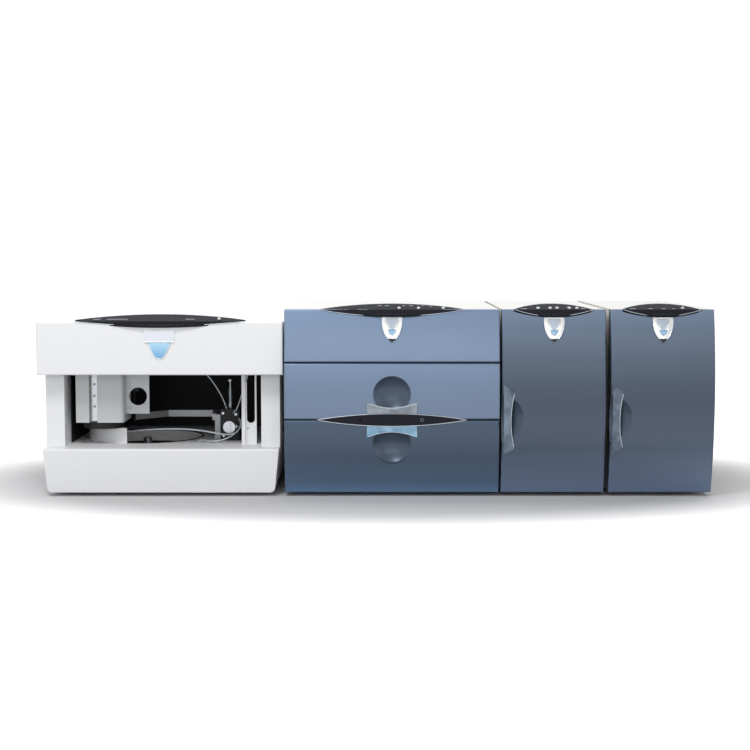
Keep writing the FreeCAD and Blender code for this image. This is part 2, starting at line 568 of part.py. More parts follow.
def samplerShell():
    """Tray base with the round well, housing, liner and hood."""
    low, corner = "footHeight", "baseRound"
    foot = "(baseHalf - baseTaper)"
    nip = f"({corner} * 0.3)"
    tray = slab("trayBlock", "XZ_Plane", [
        (f"(-{foot} + {corner})", low), (f"({foot} - {corner})", low, f"({foot} - {nip})",
                                         f"({low} + {nip})"),
        (foot, f"({low} + {corner})"), ("baseHalf", "baseTop"), ("-baseHalf", "baseTop"),
        (f"-{foot}", f"({low} + {corner})", f"(-{foot} + {nip})", f"({low} + {nip})")],
        "shellRear - baseFront")
    place(tray, samplerX, "shellRear")
    doc.recompute()
    ledge = doc.addObject("Part::Fillet", "trayRounded")
    ledge.Base = tray
    ledge.Edges = [(i + 1, sizes["ledgeRound"], sizes["ledgeRound"]) for i,
                   edge in enumerate(tray.Shape.Edges)
                   if edge.BoundBox.YLength < 0.01 and edge.BoundBox.ZMin > number("baseTop") - 0.01
                   and edge.BoundBox.YMax < number("baseFront") + 0.01]
    well = rod("trayWell", "z", at("wellAcross"), "wellBack", "baseTop - wellFloor", "wellRadius",
               "wellFloor + 1")
    socket = rod("traySocket", "z", at("wellAcross"), "wellBack", "baseTop - wellFloor - 12",
                 "spindleRadius", "13")
    keep(cut("trayCut", ledge, well, socket), "sampler_base")

    outer = box("housingBlock", (at("-baseHalf"), at("baseHalf")), ("pillarFront", "shellRear"),
                ("baseTop", "housingTop"))
    inside = box("housingCavity", (at("(pillarWide - baseHalf)"), at("(baseHalf - pillarWide)")),
                 ("pillarFront - 1", "cavityRear"),
                 ("baseTop - 1", "cavityTop"))
    vents = [box(f"housingVent{i}", (at("-ventLength / 2"), at("ventLength / 2")),
                 ("shellRear - ventDepth", "shellRear + 1"),
                 (f"coverBottom - 20 - ventPitch * {i}",
                  f"coverBottom - 20 - ventPitch * {i} + ventHeight")) for i in range(6)]
    recess = box("housingInlet", (at("-inletWidth / 2"), at("inletWidth / 2")),
                 ("shellRear - inletDepth", "shellRear + 1"),
                 ("baseTop + 20", "baseTop + 20 + inletHeight"))
    keep(cut("housingCut", outer, inside, recess, *vents), "sampler_housing")

    sheath = box("linerBlock", (at("(pillarWide - baseHalf)"), at("(baseHalf - pillarWide)")),
                 ("linerFront", "cavityRear"),
                 ("baseTop", "cavityTop"))
    hollow = box("linerHollow", (at("(pillarWide - baseHalf + linerWall)"),
                                 at("(baseHalf - pillarWide - linerWall)")),
                 ("linerFront - 1", "cavityRear - linerWall"), ("baseTop - 1", "cavityTop - linerWall"))
    keep(cut("linerCut", sheath, hollow), "sampler_liner")

    hood = box("hoodBlock", (at("-coverWidth / 2"), at("coverWidth / 2")), ("coverFront", "shellRear"),
               ("coverBottom", "coverTop"))
    rounded = doc.addObject("Part::Fillet", "hoodRounded")
    rounded.Base = hood
    doc.recompute()
    rounded.Edges = [(i + 1, sizes["edgeRound"], sizes["edgeRound"]) for i,
                     edge in enumerate(hood.Shape.Edges)
                     if edge.BoundBox.YMax < number("coverFront") + 0.01 or edge.BoundBox.ZMin > number("coverTop") - 0.01]
    plinth = padTool("hoodPlinth", samplerX, coverPadTop, "coverPad", "(-padGap - 2)", "carrierDrop",
                     "padThick + carrierDrop")
    below = box("hoodInside", (at("-baseHalf - fit"), at("baseHalf + fit")),
                ("pillarFront - fit", "shellRear + 1"),
                ("coverBottom - carrierDrop", "housingTop + fit"))
    front = box("hoodFrontInside", (at("-baseHalf - fit"), at("baseHalf + fit")),
                ("coverFront + coverWall", "pillarFront + 1"),
                ("coverBottom - 1", "coverTop - 2 * padHalfWidth"))
    seat = padTool("hoodSeat", samplerX, coverPadTop, "coverPad", "fit", "3 * carrierDrop", "padThick")
    keep(cut("hoodCut", join("hoodWhole", rounded, plinth), below, front, seat), "sampler_cover")
    keypad("sampler_keypad", samplerX, coverPadTop, "coverPad", [("sampler_button", "coverFirst")])


def samplerCarousel():
    centre = at("wellAcross")
    floor = "(baseTop - wellFloor)"
    keep(rod("spindlePost", "z", centre, "wellBack", f"{floor} - 12", "spindleRadius",
             "12 + carouselLift + 2 * carouselHigh"), "carousel_spindle")
    disc = rod("carouselDisc", "z", centre, "wellBack", f"{floor} + carouselLift",
               "wellRadius - carouselGap", "carouselHigh")
    bore = rod("carouselBore", "z", centre, "wellBack", floor, "spindleRadius + spindleFit",
               "carouselLift + 2 * carouselHigh")
    trough = cut("carouselTrough", *[
        rod(name, "z", centre, "wellBack", f"{floor} + carouselLift + carouselHigh - troughDeep",
            radius, "troughDeep + 1")
        for name, radius in (("troughRing", "wellRadius - carouselGap - troughRim"),
                             ("troughHub", "troughInner"))])
    keep(cut("carouselCut", disc, bore, trough), "carousel")
    body = doc.addObject("PartDesign::Body", "guardBody")
    inner, outer = "(wellRadius + guardGap)", "(wellRadius + guardGap + guardWall)"
    half = "((guardEnd + guardStart) / 2)"
    def rim(radius, angle):
        return f"({radius} * cos({angle}))", f"({radius} * sin({angle}))"
    sketch(body, "guardOutline", "XY_Plane", [
        rim(inner, "guardStart") + rim(inner, half), rim(inner, "guardEnd"),
        rim(outer, "guardEnd") + rim(outer, half), rim(outer, "guardStart")])
    pad = body.newObject("PartDesign::Pad", "guardPad")
    pad.Profile = body.Group[0]
    tie(pad, Length="guardHigh")
    keep(place(body, centre, "wellBack", "baseTop"), "guard_wall")


def samplerArm():
    left, right = at("armLeft"), at("armRight")
    slot = f"({left} + slotLeft)"
    block = slab("armOutline", "XY_Plane", [
        ("armLeft", "armFront"), ("(armRight - armRound)", "armFront", "(armRight - armRound * 0.3)",
                                  "(armFront + armRound * 0.3)"),
        ("armRight", "(armFront + armRound)"), ("armRight", "armRear"), ("armLeft", "armRear")],
        "cavityTop - linerWall - armBottom")
    place(block, samplerX, "0", "armBottom")
    groove = box("armGroove", (slot, f"{slot} + slotWide"), ("armFront - 1", "armFront + slotDepth"),
                 ("armBottom - 1", "cavityTop"))
    keep(cut("armCut", block, groove), "arm_housing")
    rail = box("railStrip", (f"{slot} + (slotWide - railWide) / 2", f"{slot} + (slotWide + railWide) / 2"),
               ("armFront + slotDepth - railThick", "armFront + slotDepth"),
               ("armBottom + 2", "cavityTop - linerWall"))
    keep(rail, "arm_rail")
    foot = slab("armFoot", "XY_Plane", [("-capRadius", "0", "0", "(-capRadius * 0.85)"),
                                        ("capRadius", "0")], "capHigh")
    keep(place(foot, f"(({left} + {right}) / 2)", "(armFront + capRadius)", "armBottom - capHigh"),
         "arm_foot")
    plate = box("holedBlock", (right, f"{right} + plateWide"), ("plateFront",
                                                                "plateFront + plateThick"),
                                                                ("plateBottom", "cavityTop - linerWall"))
    keep(cut("holedPlate", plate, rod("plateHole", "y", f"{right} + holeAcross", "plateFront - 1",
                                      "holeHigh", "holeRadius", "plateThick + 2")), "holed_plate")
    near = f"({right} + runningGap)"
    middle = "((plateFront + plateThick + armRear) / 2)"
    block = box("carriageBlock", (near, f"{near} + carriageWide"), (f"{middle} - carriageDeep / 2",
                                                                    f"{middle} + carriageDeep / 2"),
                ("carriageLow", "carriageLow + carriageHigh"))
    needle = rod("needleTube", "z", f"{near} + carriageWide / 2", middle, "needleTip", "needleRadius",
                 "carriageLow - needleTip + 1")
    keep(join("carriageWhole", block, needle), "needle_carriage")


def samplerFluidics():
    """Valve, syringe, cross bar and service panel at the right of the opening."""
    left = at("valveLeft")
    middle = f"({left} + valveWide / 2)"
    body = box("valveBlock", (left, f"{left} + valveWide"), ("valveFront", "valveFront + valveDeep"),
               ("baseTop", "baseTop + valveHigh"))
    bore = rod("rotorBore", "y", middle, "valveFront - 1", "baseTop + rotorHigh", "rotorStem + fit / 2",
               "rotorLong + 1")
    keep(cut("valveBored", body, bore), "valve_body")
    knob = prism("rotorKnob", "y", middle, "valveFront - rotorLong - 0.5", "baseTop + rotorHigh",
                 "rotorRadius", "rotorLong")
    stem = rod("rotorShaft", "y", middle, "valveFront - 2", "baseTop + rotorHigh", "rotorStem", "rotorLong")
    bar = box("rotorBar", (f"{middle} - rotorStem / 2", f"{middle} + rotorStem / 2"),
              ("valveFront - rotorLong - 4", "valveFront - rotorLong"),
                ("baseTop + rotorHigh - rotorRadius + 1", "baseTop + rotorHigh + rotorRadius - 1"))
    keep(join("rotorWhole", knob, stem, bar), "valve_rotor")
    syringeY = "(valveFront + valveDeep / 3)"
    top = "(baseTop + valveHigh)"
    barrel = rod("barrelTube", "z", middle, syringeY, top, "syringeRadius", "syringeHigh")
    hollow = rod("barrelBore", "z", middle, syringeY, f"{top} + 3", "syringeBore", "syringeHigh")
    keep(cut("barrelCut", barrel, hollow), "syringe_barrel")
    piston = rod("plungerPiston", "z", middle, syringeY, f"{top} + 3.3", "plungerRadius", "10")
    stick = rod("plungerRod", "z", middle, syringeY, f"{top} + 5", "rodRadius", "syringeHigh + rodHigh - 2")
    button = prism("plungerHead", "z", middle, syringeY, f"{top} + syringeHigh + rodHigh", "knobRadius",
                   "knobHigh")
    keep(join("plungerWhole", piston, stick, button), "syringe_plunger")

    post = box("barPost", (f"{left} - bracketWide", left), ("valveFront + valveDeep / 2",
                                                            "valveFront + valveDeep"),
                                                            ("baseTop", "baseTop + barLift + barHigh"))
    end = "(valveLeft - bracketWide)"
    rear = "(valveFront + valveDeep + barBend)"
    bar = slab("crossOutline", "XY_Plane", [
        (end, "(valveFront + valveDeep)"), (end, "(valveFront + valveDeep - barThick)"),
        (f"({end} - 8)", "(valveFront + valveDeep - barThick)"),
        (f"({end} - 8 - barThick)", rear), (f"({end} - barSpan)", rear),
        (f"({end} - barSpan - barBend)", f"({rear} - barBend)"),
        (f"({end} - barSpan - barBend)", f"({rear} - barBend + barThick)"),
        (f"({end} - barSpan)", f"({rear} + barThick)"),
        (f"({end})", f"({rear} + barThick)")], "barHigh")
    place(bar, samplerX, "0", "baseTop + barLift")
    keep(join("crossWhole", post, bar), "cross_bar")

    near = at("panelLeft")
    leaf = box("panelSheet", (near, f"{near} + panelWide"), ("panelFront", "panelFront + panelThick"),
               ("baseTop", "panelTop"))
    edge = box("panelPost", (near, f"{near} + postWide"), ("panelFront - postDeep",
                                                           "panelFront + panelThick"),
                                                           ("baseTop", "panelTop"))
    x = f"({near} + postWide + 3 + panelSlot)"
    slot = box("panelSlotBox", (f"{x} - panelSlot", f"{x} + panelSlot"),
               ("panelFront - 1", "panelFront + panelThick + 1"),
               ("panelSlotLow + panelSlot", "panelTop - 20"))
    slotEnd = rod("panelSlotEnd", "y", x, "panelFront - 1", "panelSlotLow + panelSlot", "panelSlot",
                  "panelThick + 2")
    keep(cut("panelCut", join("panelWhole", leaf, edge), slot, slotEnd), "service_panel")


def badges():
    """Shield badges on the blue fronts, and the autosampler's plate with its blue drop."""
    for i, (name, centre) in enumerate((("wide", wideX), ("pump", pumpX), ("eluent", eluentX))):
        top, foot = "badgeTop", "(badgeTop - badgeTall)"
        knee = "(badgeTop - badgeTall * 0.45)"
        prism = slab(f"shieldOutline{i}", "XZ_Plane", [
            ("-badgeHalf", top), ("badgeHalf", top), ("badgeHalf", knee, "(badgeHalf * 0.72)",
                                                      "(badgeTop - badgeTall * 0.8)"),
            ("0", foot, "(-badgeHalf * 0.72)", "(badgeTop - badgeTall * 0.8)"), ("-badgeHalf", knee)],
            "rearFace - faceRim")
        place(prism, centre)
        low, high = ("(panelSeam + seam / 2)", "moduleTop") if i == 0 else ("footHeight", "moduleTop")
        middle = f"(({low} + {high}) / 2)"
        skinBody = slab(f"shieldSkin{i}", "YZ_Plane", [
            (face(low), low, face(middle), middle), (face(high), high),
            (f"({face(high)} - badgeThick)", high, f"({face(middle)} - badgeThick)", middle),
            (f"({face(low)} - badgeThick)", low)], "narrowWidth", both=True)
        place(skinBody, centre)
        if i == 0:
            clear = padTool("shieldClear", centre, bluePad, "widePad", "fit", "3 * carrierDrop",
                            "padThick + 2 * fit")
        else:
            clear = padShadow(f"shieldClear{i}", centre)
        keep(cut(f"shieldCut{i}", common(f"shieldBent{i}", prism, skinBody), clear), name + "_badge")
    plate = box("badgePlateBlock", (at("-plateHalf"), at("plateHalf")),
                ("coverFront - badgeThick", "coverFront"), ("plateLow", "plateHigh"))
    clear = [padTool("plateClearPad", samplerX, coverPadTop, "coverPad", "fit", "3 * carrierDrop",
                     "padThick + fit"),
             padTool("plateClearPlinth", samplerX, coverPadTop, "coverPad", "(fit - padGap - 2)",
                     "2 * carrierDrop",
                     "padThick + carrierDrop")]
    keep(cut("badgePlateCut", plate, *clear), "sampler_badge")
    drop = slab("dropOutline", "XZ_Plane", [
        ("-dropHalf", "plateLow"), ("dropHalf", "plateLow", "(dropHalf * 0.62)",
                                    "(plateLow - dropTall * 0.72)"),
        ("0", "(plateLow - dropTall)", "(-dropHalf * 0.62)", "(plateLow - dropTall * 0.72)")], "badgeThick")
    keep(place(drop, samplerX, "coverFront"), "sampler_badge_drop")


def feet():
    spots = []
    for centre, width, rear in ((samplerX, "2 * baseHalf - 2 * baseTaper", "shellRear"),
                                (wideX, "wideWidth", "rearFace"),
                                (pumpX, "narrowWidth", "rearFace"), (eluentX, "narrowWidth", "rearFace")):
        for side in (-1, 1):
            for y in (f"({chassisFront} + footInset)", f"({rear} - footInset)"):
                x = f"({centre} + {side} * (({width}) / 2 - footInset * 0.7))"
                spots.append(prism(f"foot{len(spots)}", "z", x, y, "0", "footRadius", "footHeight"))
    group("feet", spots)


def inlets():
    sockets = []
    for i, (centre, rear, low) in enumerate(((samplerX, "shellRear", "baseTop + 20"),
                                             (wideX, "rearFace", "inletLow"),
                                             (pumpX, "rearFace", "inletLow"),
                                             (eluentX, "rearFace", "inletLow"))):
        shell = box(f"inlet{i}", (f"{centre} - inletWidth / 2 + fit",
                                  f"{centre} + inletWidth / 2 - fit"),
                                  (f"{rear} - inletDepth", f"{rear} - 1"),
                    (f"{low} + fit", f"{low} + inletHeight - fit"))
        hole = box(f"inletHole{i}", (f"{centre} - inletWidth / 2 + 8",
                                     f"{centre} + inletWidth / 2 - 8"),
                                     (f"{rear} - inletDepth + 3", f"{rear}"),
                   (f"{low} + 6", f"{low} + inletHeight - 6"))
        sockets.append(cut(f"inletCut{i}", shell, hole))
    group("power_inlets", sockets)


samplerShell()
samplerCarousel()
samplerArm()
samplerFluidics()
wideModule()
pumpModule()
eluentModule()
badges()
feet()
inlets()
group("hinge_brackets", brackets)
doc.recompute()

# Every object is sound and every piece is a valid solid before anything is written
failed = [piece.Name for piece in doc.Objects if "Invalid" in piece.State or "Error" in piece.State]
if failed:
    raise RuntimeError("failed to build: " + ", ".join(failed))
for label, piece in parts.items():
    shape = piece.Shape
    if shape.isNull() or not shape.isValid() or not shape.Solids:
        raise RuntimeError("not a valid solid: " + label)

os.makedirs("parts", exist_ok=True)
for label, piece in parts.items():
    piece.Shape.exportStep(os.path.join("parts", label + ".step"))
    print(label, len(piece.Shape.Solids), round(piece.Shape.Volume), piece.Shape.BoundBox)
print(len(parts), "pieces")
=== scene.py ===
import json
import math
import bpy
import bmesh
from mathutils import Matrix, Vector


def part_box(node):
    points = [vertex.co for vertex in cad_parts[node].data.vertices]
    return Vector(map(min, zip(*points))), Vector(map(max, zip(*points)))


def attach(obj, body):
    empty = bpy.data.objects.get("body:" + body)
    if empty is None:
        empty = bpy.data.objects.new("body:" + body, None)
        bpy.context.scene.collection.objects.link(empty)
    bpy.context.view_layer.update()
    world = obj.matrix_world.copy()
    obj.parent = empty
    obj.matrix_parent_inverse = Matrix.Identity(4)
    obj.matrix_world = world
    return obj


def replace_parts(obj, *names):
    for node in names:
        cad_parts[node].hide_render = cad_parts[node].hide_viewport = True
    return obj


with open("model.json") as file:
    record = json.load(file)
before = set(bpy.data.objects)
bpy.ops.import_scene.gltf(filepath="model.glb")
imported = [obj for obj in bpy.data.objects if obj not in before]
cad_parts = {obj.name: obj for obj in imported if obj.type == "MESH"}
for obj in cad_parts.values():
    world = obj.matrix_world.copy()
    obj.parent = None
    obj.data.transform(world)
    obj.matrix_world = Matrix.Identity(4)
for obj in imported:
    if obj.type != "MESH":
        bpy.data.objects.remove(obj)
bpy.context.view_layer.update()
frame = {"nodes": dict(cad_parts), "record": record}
print("frame loaded:", len(frame["nodes"]), "nodes")

# Lens and height are set so that the fronts fall where the photo has them
camera = {"across": 0.0, "back": -3.24, "up": 0.505, "tiltDown": 4.92, "lens": 71.7}

# Softboxes as (name, place, aim, width, height, power)
lights = {
    "top": ((0.0, 0.8, 2.4), (0.0, 0.0, 0.0), 4.4, 1.6, 50),
    "front": ((0.0, -3.4, 0.95), (0.0, 0.0, 0.2), 3.6, 1.0, 20.5),
    "left": ((-2.6, -1.6, 1.0), (0.0, 0.0, 0.2), 1.4, 1.4, 5),
    "right": ((2.6, -1.6, 1.0), (0.0, 0.0, 0.2), 1.4, 1.4, 6),
    "bay": ((-0.5, -1.25, 1.6), (-0.43, -0.15, 0.1), 0.6, 0.5, 14),
}
worldGlow = 0.33
# The paper's glow grows from none to full over reach, in metres from the middle of the row, so that the grey paper near
# the row is painted shade that deepens the modules' shadow
floorLook = {"colour": (0.58, 0.58, 0.59), "rough": 0.9, "shine": 0.1, "reach": (0.42, 0.75), "squeeze": 0.6,
             "half": 9.0, "back": 6.5, "rise": 6.0, "bend": 1.2}


def linear(red, green, blue):
    def one(value):
        value = value / 255
        return value / 12.92 if value <= 0.04045 else ((value + 0.055) / 1.055) ** 2.4
    return (one(red), one(green), one(blue), 1.0)


# Stage
def seenRay(nodes, links):
    # 1 for camera, mirror and glass rays, which see the paper white
    sight, total = nodes.new("ShaderNodeLightPath"), None
    for kind in ("Is Camera Ray", "Is Glossy Ray", "Is Transmission Ray"):
        if total is None:
            total = sight.outputs[kind]
            continue
        larger = nodes.new("ShaderNodeMath")
        larger.operation = "MAXIMUM"
        links.new(total, larger.inputs[0])
        links.new(sight.outputs[kind], larger.inputs[1])
        total = larger.outputs["Value"]
    return total


def makeStage():
    half, back, rise, bend = floorLook["half"], floorLook["back"], floorLook["rise"], floorLook["bend"]
    line = [(-half, 0.0), (back - bend, 0.0)]
    for step in range(1, 13):
        turn = math.radians(90 * step / 12)
        line.append((back - bend + bend * math.sin(turn), bend - bend * math.cos(turn)))
    line.append((back, rise))
    work = bmesh.new()
    rows = [[work.verts.new((x, y, z)) for y, z in line] for x in (-half, half)]
    for left, right, farRight, farLeft in zip(rows[0], rows[1], rows[1][1:], rows[0][1:]):
        work.faces.new((left, right, farRight, farLeft))
    mesh = bpy.data.meshes.new("floor")
    work.to_mesh(mesh)
    work.free()
    mesh.polygons.foreach_set("use_smooth", [True] * len(mesh.polygons))
    floor = bpy.data.objects.new("floor", mesh)
    bpy.context.collection.objects.link(floor)
    paper = bpy.data.materials.new("studioPaper")
    paper.use_nodes = True
    nodes, links = paper.node_tree.nodes, paper.node_tree.links
    shader = nodes["Principled BSDF"]
    shader.inputs["Base Color"].default_value = floorLook["colour"] + (1.0,)
    shader.inputs["Roughness"].default_value = floorLook["rough"]
    shader.inputs["Specular IOR Level"].default_value = floorLook["shine"]
    output = nodes["Material Output"]
    glow = nodes.new("ShaderNodeEmission")
    glow.inputs["Color"].default_value = (1, 1, 1, 1)
    # the paper glows white away from the modules and stays grey near them, painted shade over their real shadow
    where, squeeze = nodes.new("ShaderNodeTexCoord"), nodes.new("ShaderNodeMapping")
    reach = nodes.new("ShaderNodeVectorMath")
    squeeze.inputs["Scale"].default_value = (floorLook["squeeze"], 1, 1)
    reach.operation = "LENGTH"
    links.new(where.outputs["Object"], squeeze.inputs["Vector"])
    links.new(squeeze.outputs["Vector"], reach.inputs["Vector"])
    spread = nodes.new("ShaderNodeMapRange")
    spread.interpolation_type = "SMOOTHSTEP"
    spread.inputs["From Min"].default_value, spread.inputs["From Max"].default_value = floorLook["reach"]
    links.new(reach.outputs["Value"], spread.inputs["Value"])
    links.new(spread.outputs["Result"], glow.inputs["Strength"])
    dim = nodes.new("ShaderNodeMixShader")
    add = nodes.new("ShaderNodeAddShader")
    links.new(seenRay(nodes, links), dim.inputs["Fac"])
    links.new(glow.outputs["Emission"], dim.inputs[2])
    links.new(shader.outputs["BSDF"], add.inputs[0])
    links.new(dim.outputs["Shader"], add.inputs[1])
    links.new(add.outputs["Shader"], output.inputs["Surface"])
    mesh.materials.append(paper)

    world = bpy.data.worlds.new("studio")
    bpy.context.scene.world = world
    world.use_nodes = True
    nodes, links = world.node_tree.nodes, world.node_tree.links
    nodes.clear()
    seen, lit = nodes.new("ShaderNodeBackground"), nodes.new("ShaderNodeBackground")
    seen.inputs["Color"].default_value = (1, 1, 1, 1)
    lit.inputs["Color"].default_value = (1, 1, 1, 1)
    lit.inputs["Strength"].default_value = worldGlow
    mix, output = nodes.new("ShaderNodeMixShader"), nodes.new("ShaderNodeOutputWorld")
    links.new(seenRay(nodes, links), mix.inputs["Fac"])
    links.new(lit.outputs["Background"], mix.inputs[1])
    links.new(seen.outputs["Background"], mix.inputs[2])
    links.new(mix.outputs["Shader"], output.inputs["Surface"])

    for name, (place, aim, width, height, power) in lights.items():
        lamp = bpy.data.lights.new(name + "Softbox", "AREA")
        lamp.shape = "RECTANGLE"
        lamp.size, lamp.size_y, lamp.energy = width, height, power
        holder = bpy.data.objects.new(name + "Softbox", lamp)
        holder.location = place
        holder.rotation_euler = (Vector(aim) - Vector(place)).to_track_quat("-Z", "Y").to_euler()
        bpy.context.collection.objects.link(holder)

    lens = bpy.data.cameras.new("camera")
    lens.lens = camera["lens"]
    lens.sensor_width = 36
    eye = bpy.data.objects.new("camera", lens)
    eye.location = (camera["across"], camera["back"], camera["up"])
    eye.rotation_euler = (math.radians(90 - camera["tiltDown"]), 0, 0)
    bpy.context.collection.objects.link(eye)
    bpy.context.scene.camera = eye
    bpy.context.scene.view_settings.view_transform = "Standard"


makeStage()
print("stage set")

# Finishes: two tones that noise blends, or painted light and shade by height in metres, with the shader's own values.
# spread sharpens the blend (on the lips into painted reflection streaks), rise blends by height, and bowls are round
# spots of painted shade as (x, z, radius)
bluePaint = dict(grain=900, metal=0.5, rough=0.36, bump=0.02, coat=0.12)
# painted light and shade: the blue doors are lighter where their bulge faces up and darker where it faces down, pale at
# the bottom edge, and lighter above the wide module's seam
wideShadingByHeight = [(0.008, linear(104, 136, 174)), (0.03, linear(88, 110, 137)), (0.08, linear(70, 87, 107)),
             (0.15, linear(60, 77, 95)), (0.157, linear(62, 80, 100)), (0.16, linear(100, 117, 140)),
             (0.27, linear(100, 118, 142)), (0.3, linear(104, 122, 146)), (0.38, linear(106, 126, 152))]
narrowShadingByHeight = [(0.008, linear(112, 130, 158)), (0.04, linear(104, 121, 146)), (0.1, linear(70, 83, 101)),
               (0.19, linear(58, 69, 85)), (0.28, linear(66, 79, 96)), (0.34, linear(86, 101, 121)),
               (0.375, linear(104, 120, 142))]
finishes = {
    "blueWide": dict(bluePaint, heights=wideShadingByHeight, bowls=[(0.034, 0.2094, 0.038), (0.034, 0.1049, 0.038)]),
    "bluePump": dict(bluePaint, heights=narrowShadingByHeight, bowls=[(0.2465, 0.157, 0.051)]),
    "blueEluent": dict(bluePaint, heights=narrowShadingByHeight, bowls=[(0.4645, 0.157, 0.051)]),
    "whiteSatin": dict(low=linear(231, 232, 234), high=linear(239, 240, 241), grain=700, rough=0.42, bump=0.05),
    "greyBase": dict(low=linear(229, 230, 232), high=linear(236, 237, 238), grain=700, rough=0.45, bump=0.05),
    "offWhite": dict(low=linear(214, 214, 210), high=linear(226, 226, 222), grain=500, rough=0.5, bump=0.08),
    "keypadBlack": dict(low=linear(32, 33, 38), high=linear(42, 43, 50), grain=300, rough=0.5, bump=0.01, shine=0.05),
    "padRim": dict(low=linear(150, 158, 168), high=linear(196, 202, 210), grain=400, metal=0.6, rough=0.3, bump=0.02),
    "buttonWhite": dict(low=linear(205, 208, 212), high=linear(228, 230, 233), grain=600, rough=0.35, bump=0.02),
    "inkWhite": dict(low=linear(170, 174, 180), high=linear(205, 208, 214), grain=900, rough=0.5),
    "linerBlack": dict(low=linear(10, 10, 12), high=linear(18, 18, 21), grain=260, rough=0.55, bump=0.12, shine=0.2),
    "wellBlack": dict(low=linear(5, 5, 7), high=linear(11, 11, 14), grain=300, rough=0.6, bump=0.06, shine=0.1),
    "softBlack": dict(low=linear(12, 12, 14), high=linear(26, 26, 29), grain=500, rough=0.48, bump=0.1, shine=0.25),
    "armGrey": dict(low=linear(178, 181, 182), high=linear(196, 199, 200), grain=450, metal=0.05, rough=0.42,
                    bump=0.06),
    "plateGrey": dict(low=linear(158, 161, 164), high=linear(178, 181, 184), grain=600, metal=0.3, rough=0.4,
                      bump=0.04),
    "brushedSteel": dict(low=linear(150, 153, 158), high=linear(198, 200, 204), grain=120, metal=1.0,
                         rough=0.32, bump=0.05, brushed=True),
    "brightChrome": dict(low=linear(196, 202, 210), high=linear(226, 230, 236), grain=60, metal=1.0, rough=0.14),
    "rubberBlack": dict(low=linear(18, 18, 18), high=linear(30, 30, 30), grain=700, rough=0.8, bump=0.2),
    "creamPlastic": dict(low=linear(214, 208, 190), high=linear(228, 223, 208), grain=300, rough=0.4, bump=0.03),
    "badgeWhite": dict(low=linear(212, 218, 228), high=linear(232, 236, 243), grain=200, metal=0.1, rough=0.3,
                       bump=0.01, coat=0.4),
    "enamelBlue": dict(low=linear(70, 150, 205), high=linear(176, 220, 242), grain=90, metal=0.1, rough=0.2,
                       bump=0.01, coat=0.6, rise=(0.272, 0.318)),
    "shieldField": dict(low=linear(138, 152, 166), high=linear(196, 208, 218), grain=150, metal=0.3,
                        rough=0.26, bump=0.01, coat=0.4),
    "shieldBlue": dict(low=linear(96, 148, 190), high=linear(172, 208, 232), grain=90, metal=0.1, rough=0.2,
                       bump=0.01, coat=0.5),
    "shieldSilver": dict(low=linear(200, 200, 198), high=linear(232, 232, 230), grain=80, metal=0.6,
                         rough=0.22, coat=0.3),
    # on the clear lips the noise blends their own tint with sharp pale streaks, which are painted reflections
    "lipBlue": dict(low=linear(96, 140, 176), high=linear(172, 220, 244), grain=46, rough=0.12, bump=0.01, glass=0.1,
                    spread=(0.36, 0.6)),
    "lipGrey": dict(low=linear(92, 106, 130), high=linear(176, 184, 190), grain=46, rough=0.12, bump=0.01, glass=0.15,
                    spread=(0.36, 0.62)),
    "lipSmoke": dict(low=linear(66, 80, 104), high=linear(146, 166, 186), grain=40, rough=0.12, bump=0.01, glass=0.2,
                     spread=(0.4, 0.68)),
    # painted highlight along each lip's free edge
    "lipEdgeHighlight": dict(low=linear(206, 216, 226), high=linear(232, 238, 244), grain=90, rough=0.15),
    "clearGlass": dict(low=linear(226, 236, 240), high=linear(240, 246, 248), grain=60, rough=0.05, glass=0.95),
    "tubeClear": dict(low=linear(214, 226, 236), high=linear(236, 242, 247), grain=200, rough=0.25, glass=0.3),
}
bowlShade = {"colour": linear(58, 71, 88), "edge": 0.0015}
surface = {"coatRough": 0.12, "shine": 0.5, "glassIor": 1.46, "brushed": (0.04, 1, 1), "cloud": 7, "mix": 0.5,
           "riseSpeckle": 0.08, "heightSpeckle": 0.01, "smoother": 0.04, "rougher": 0.06, "bumpDeep": 0.0004}


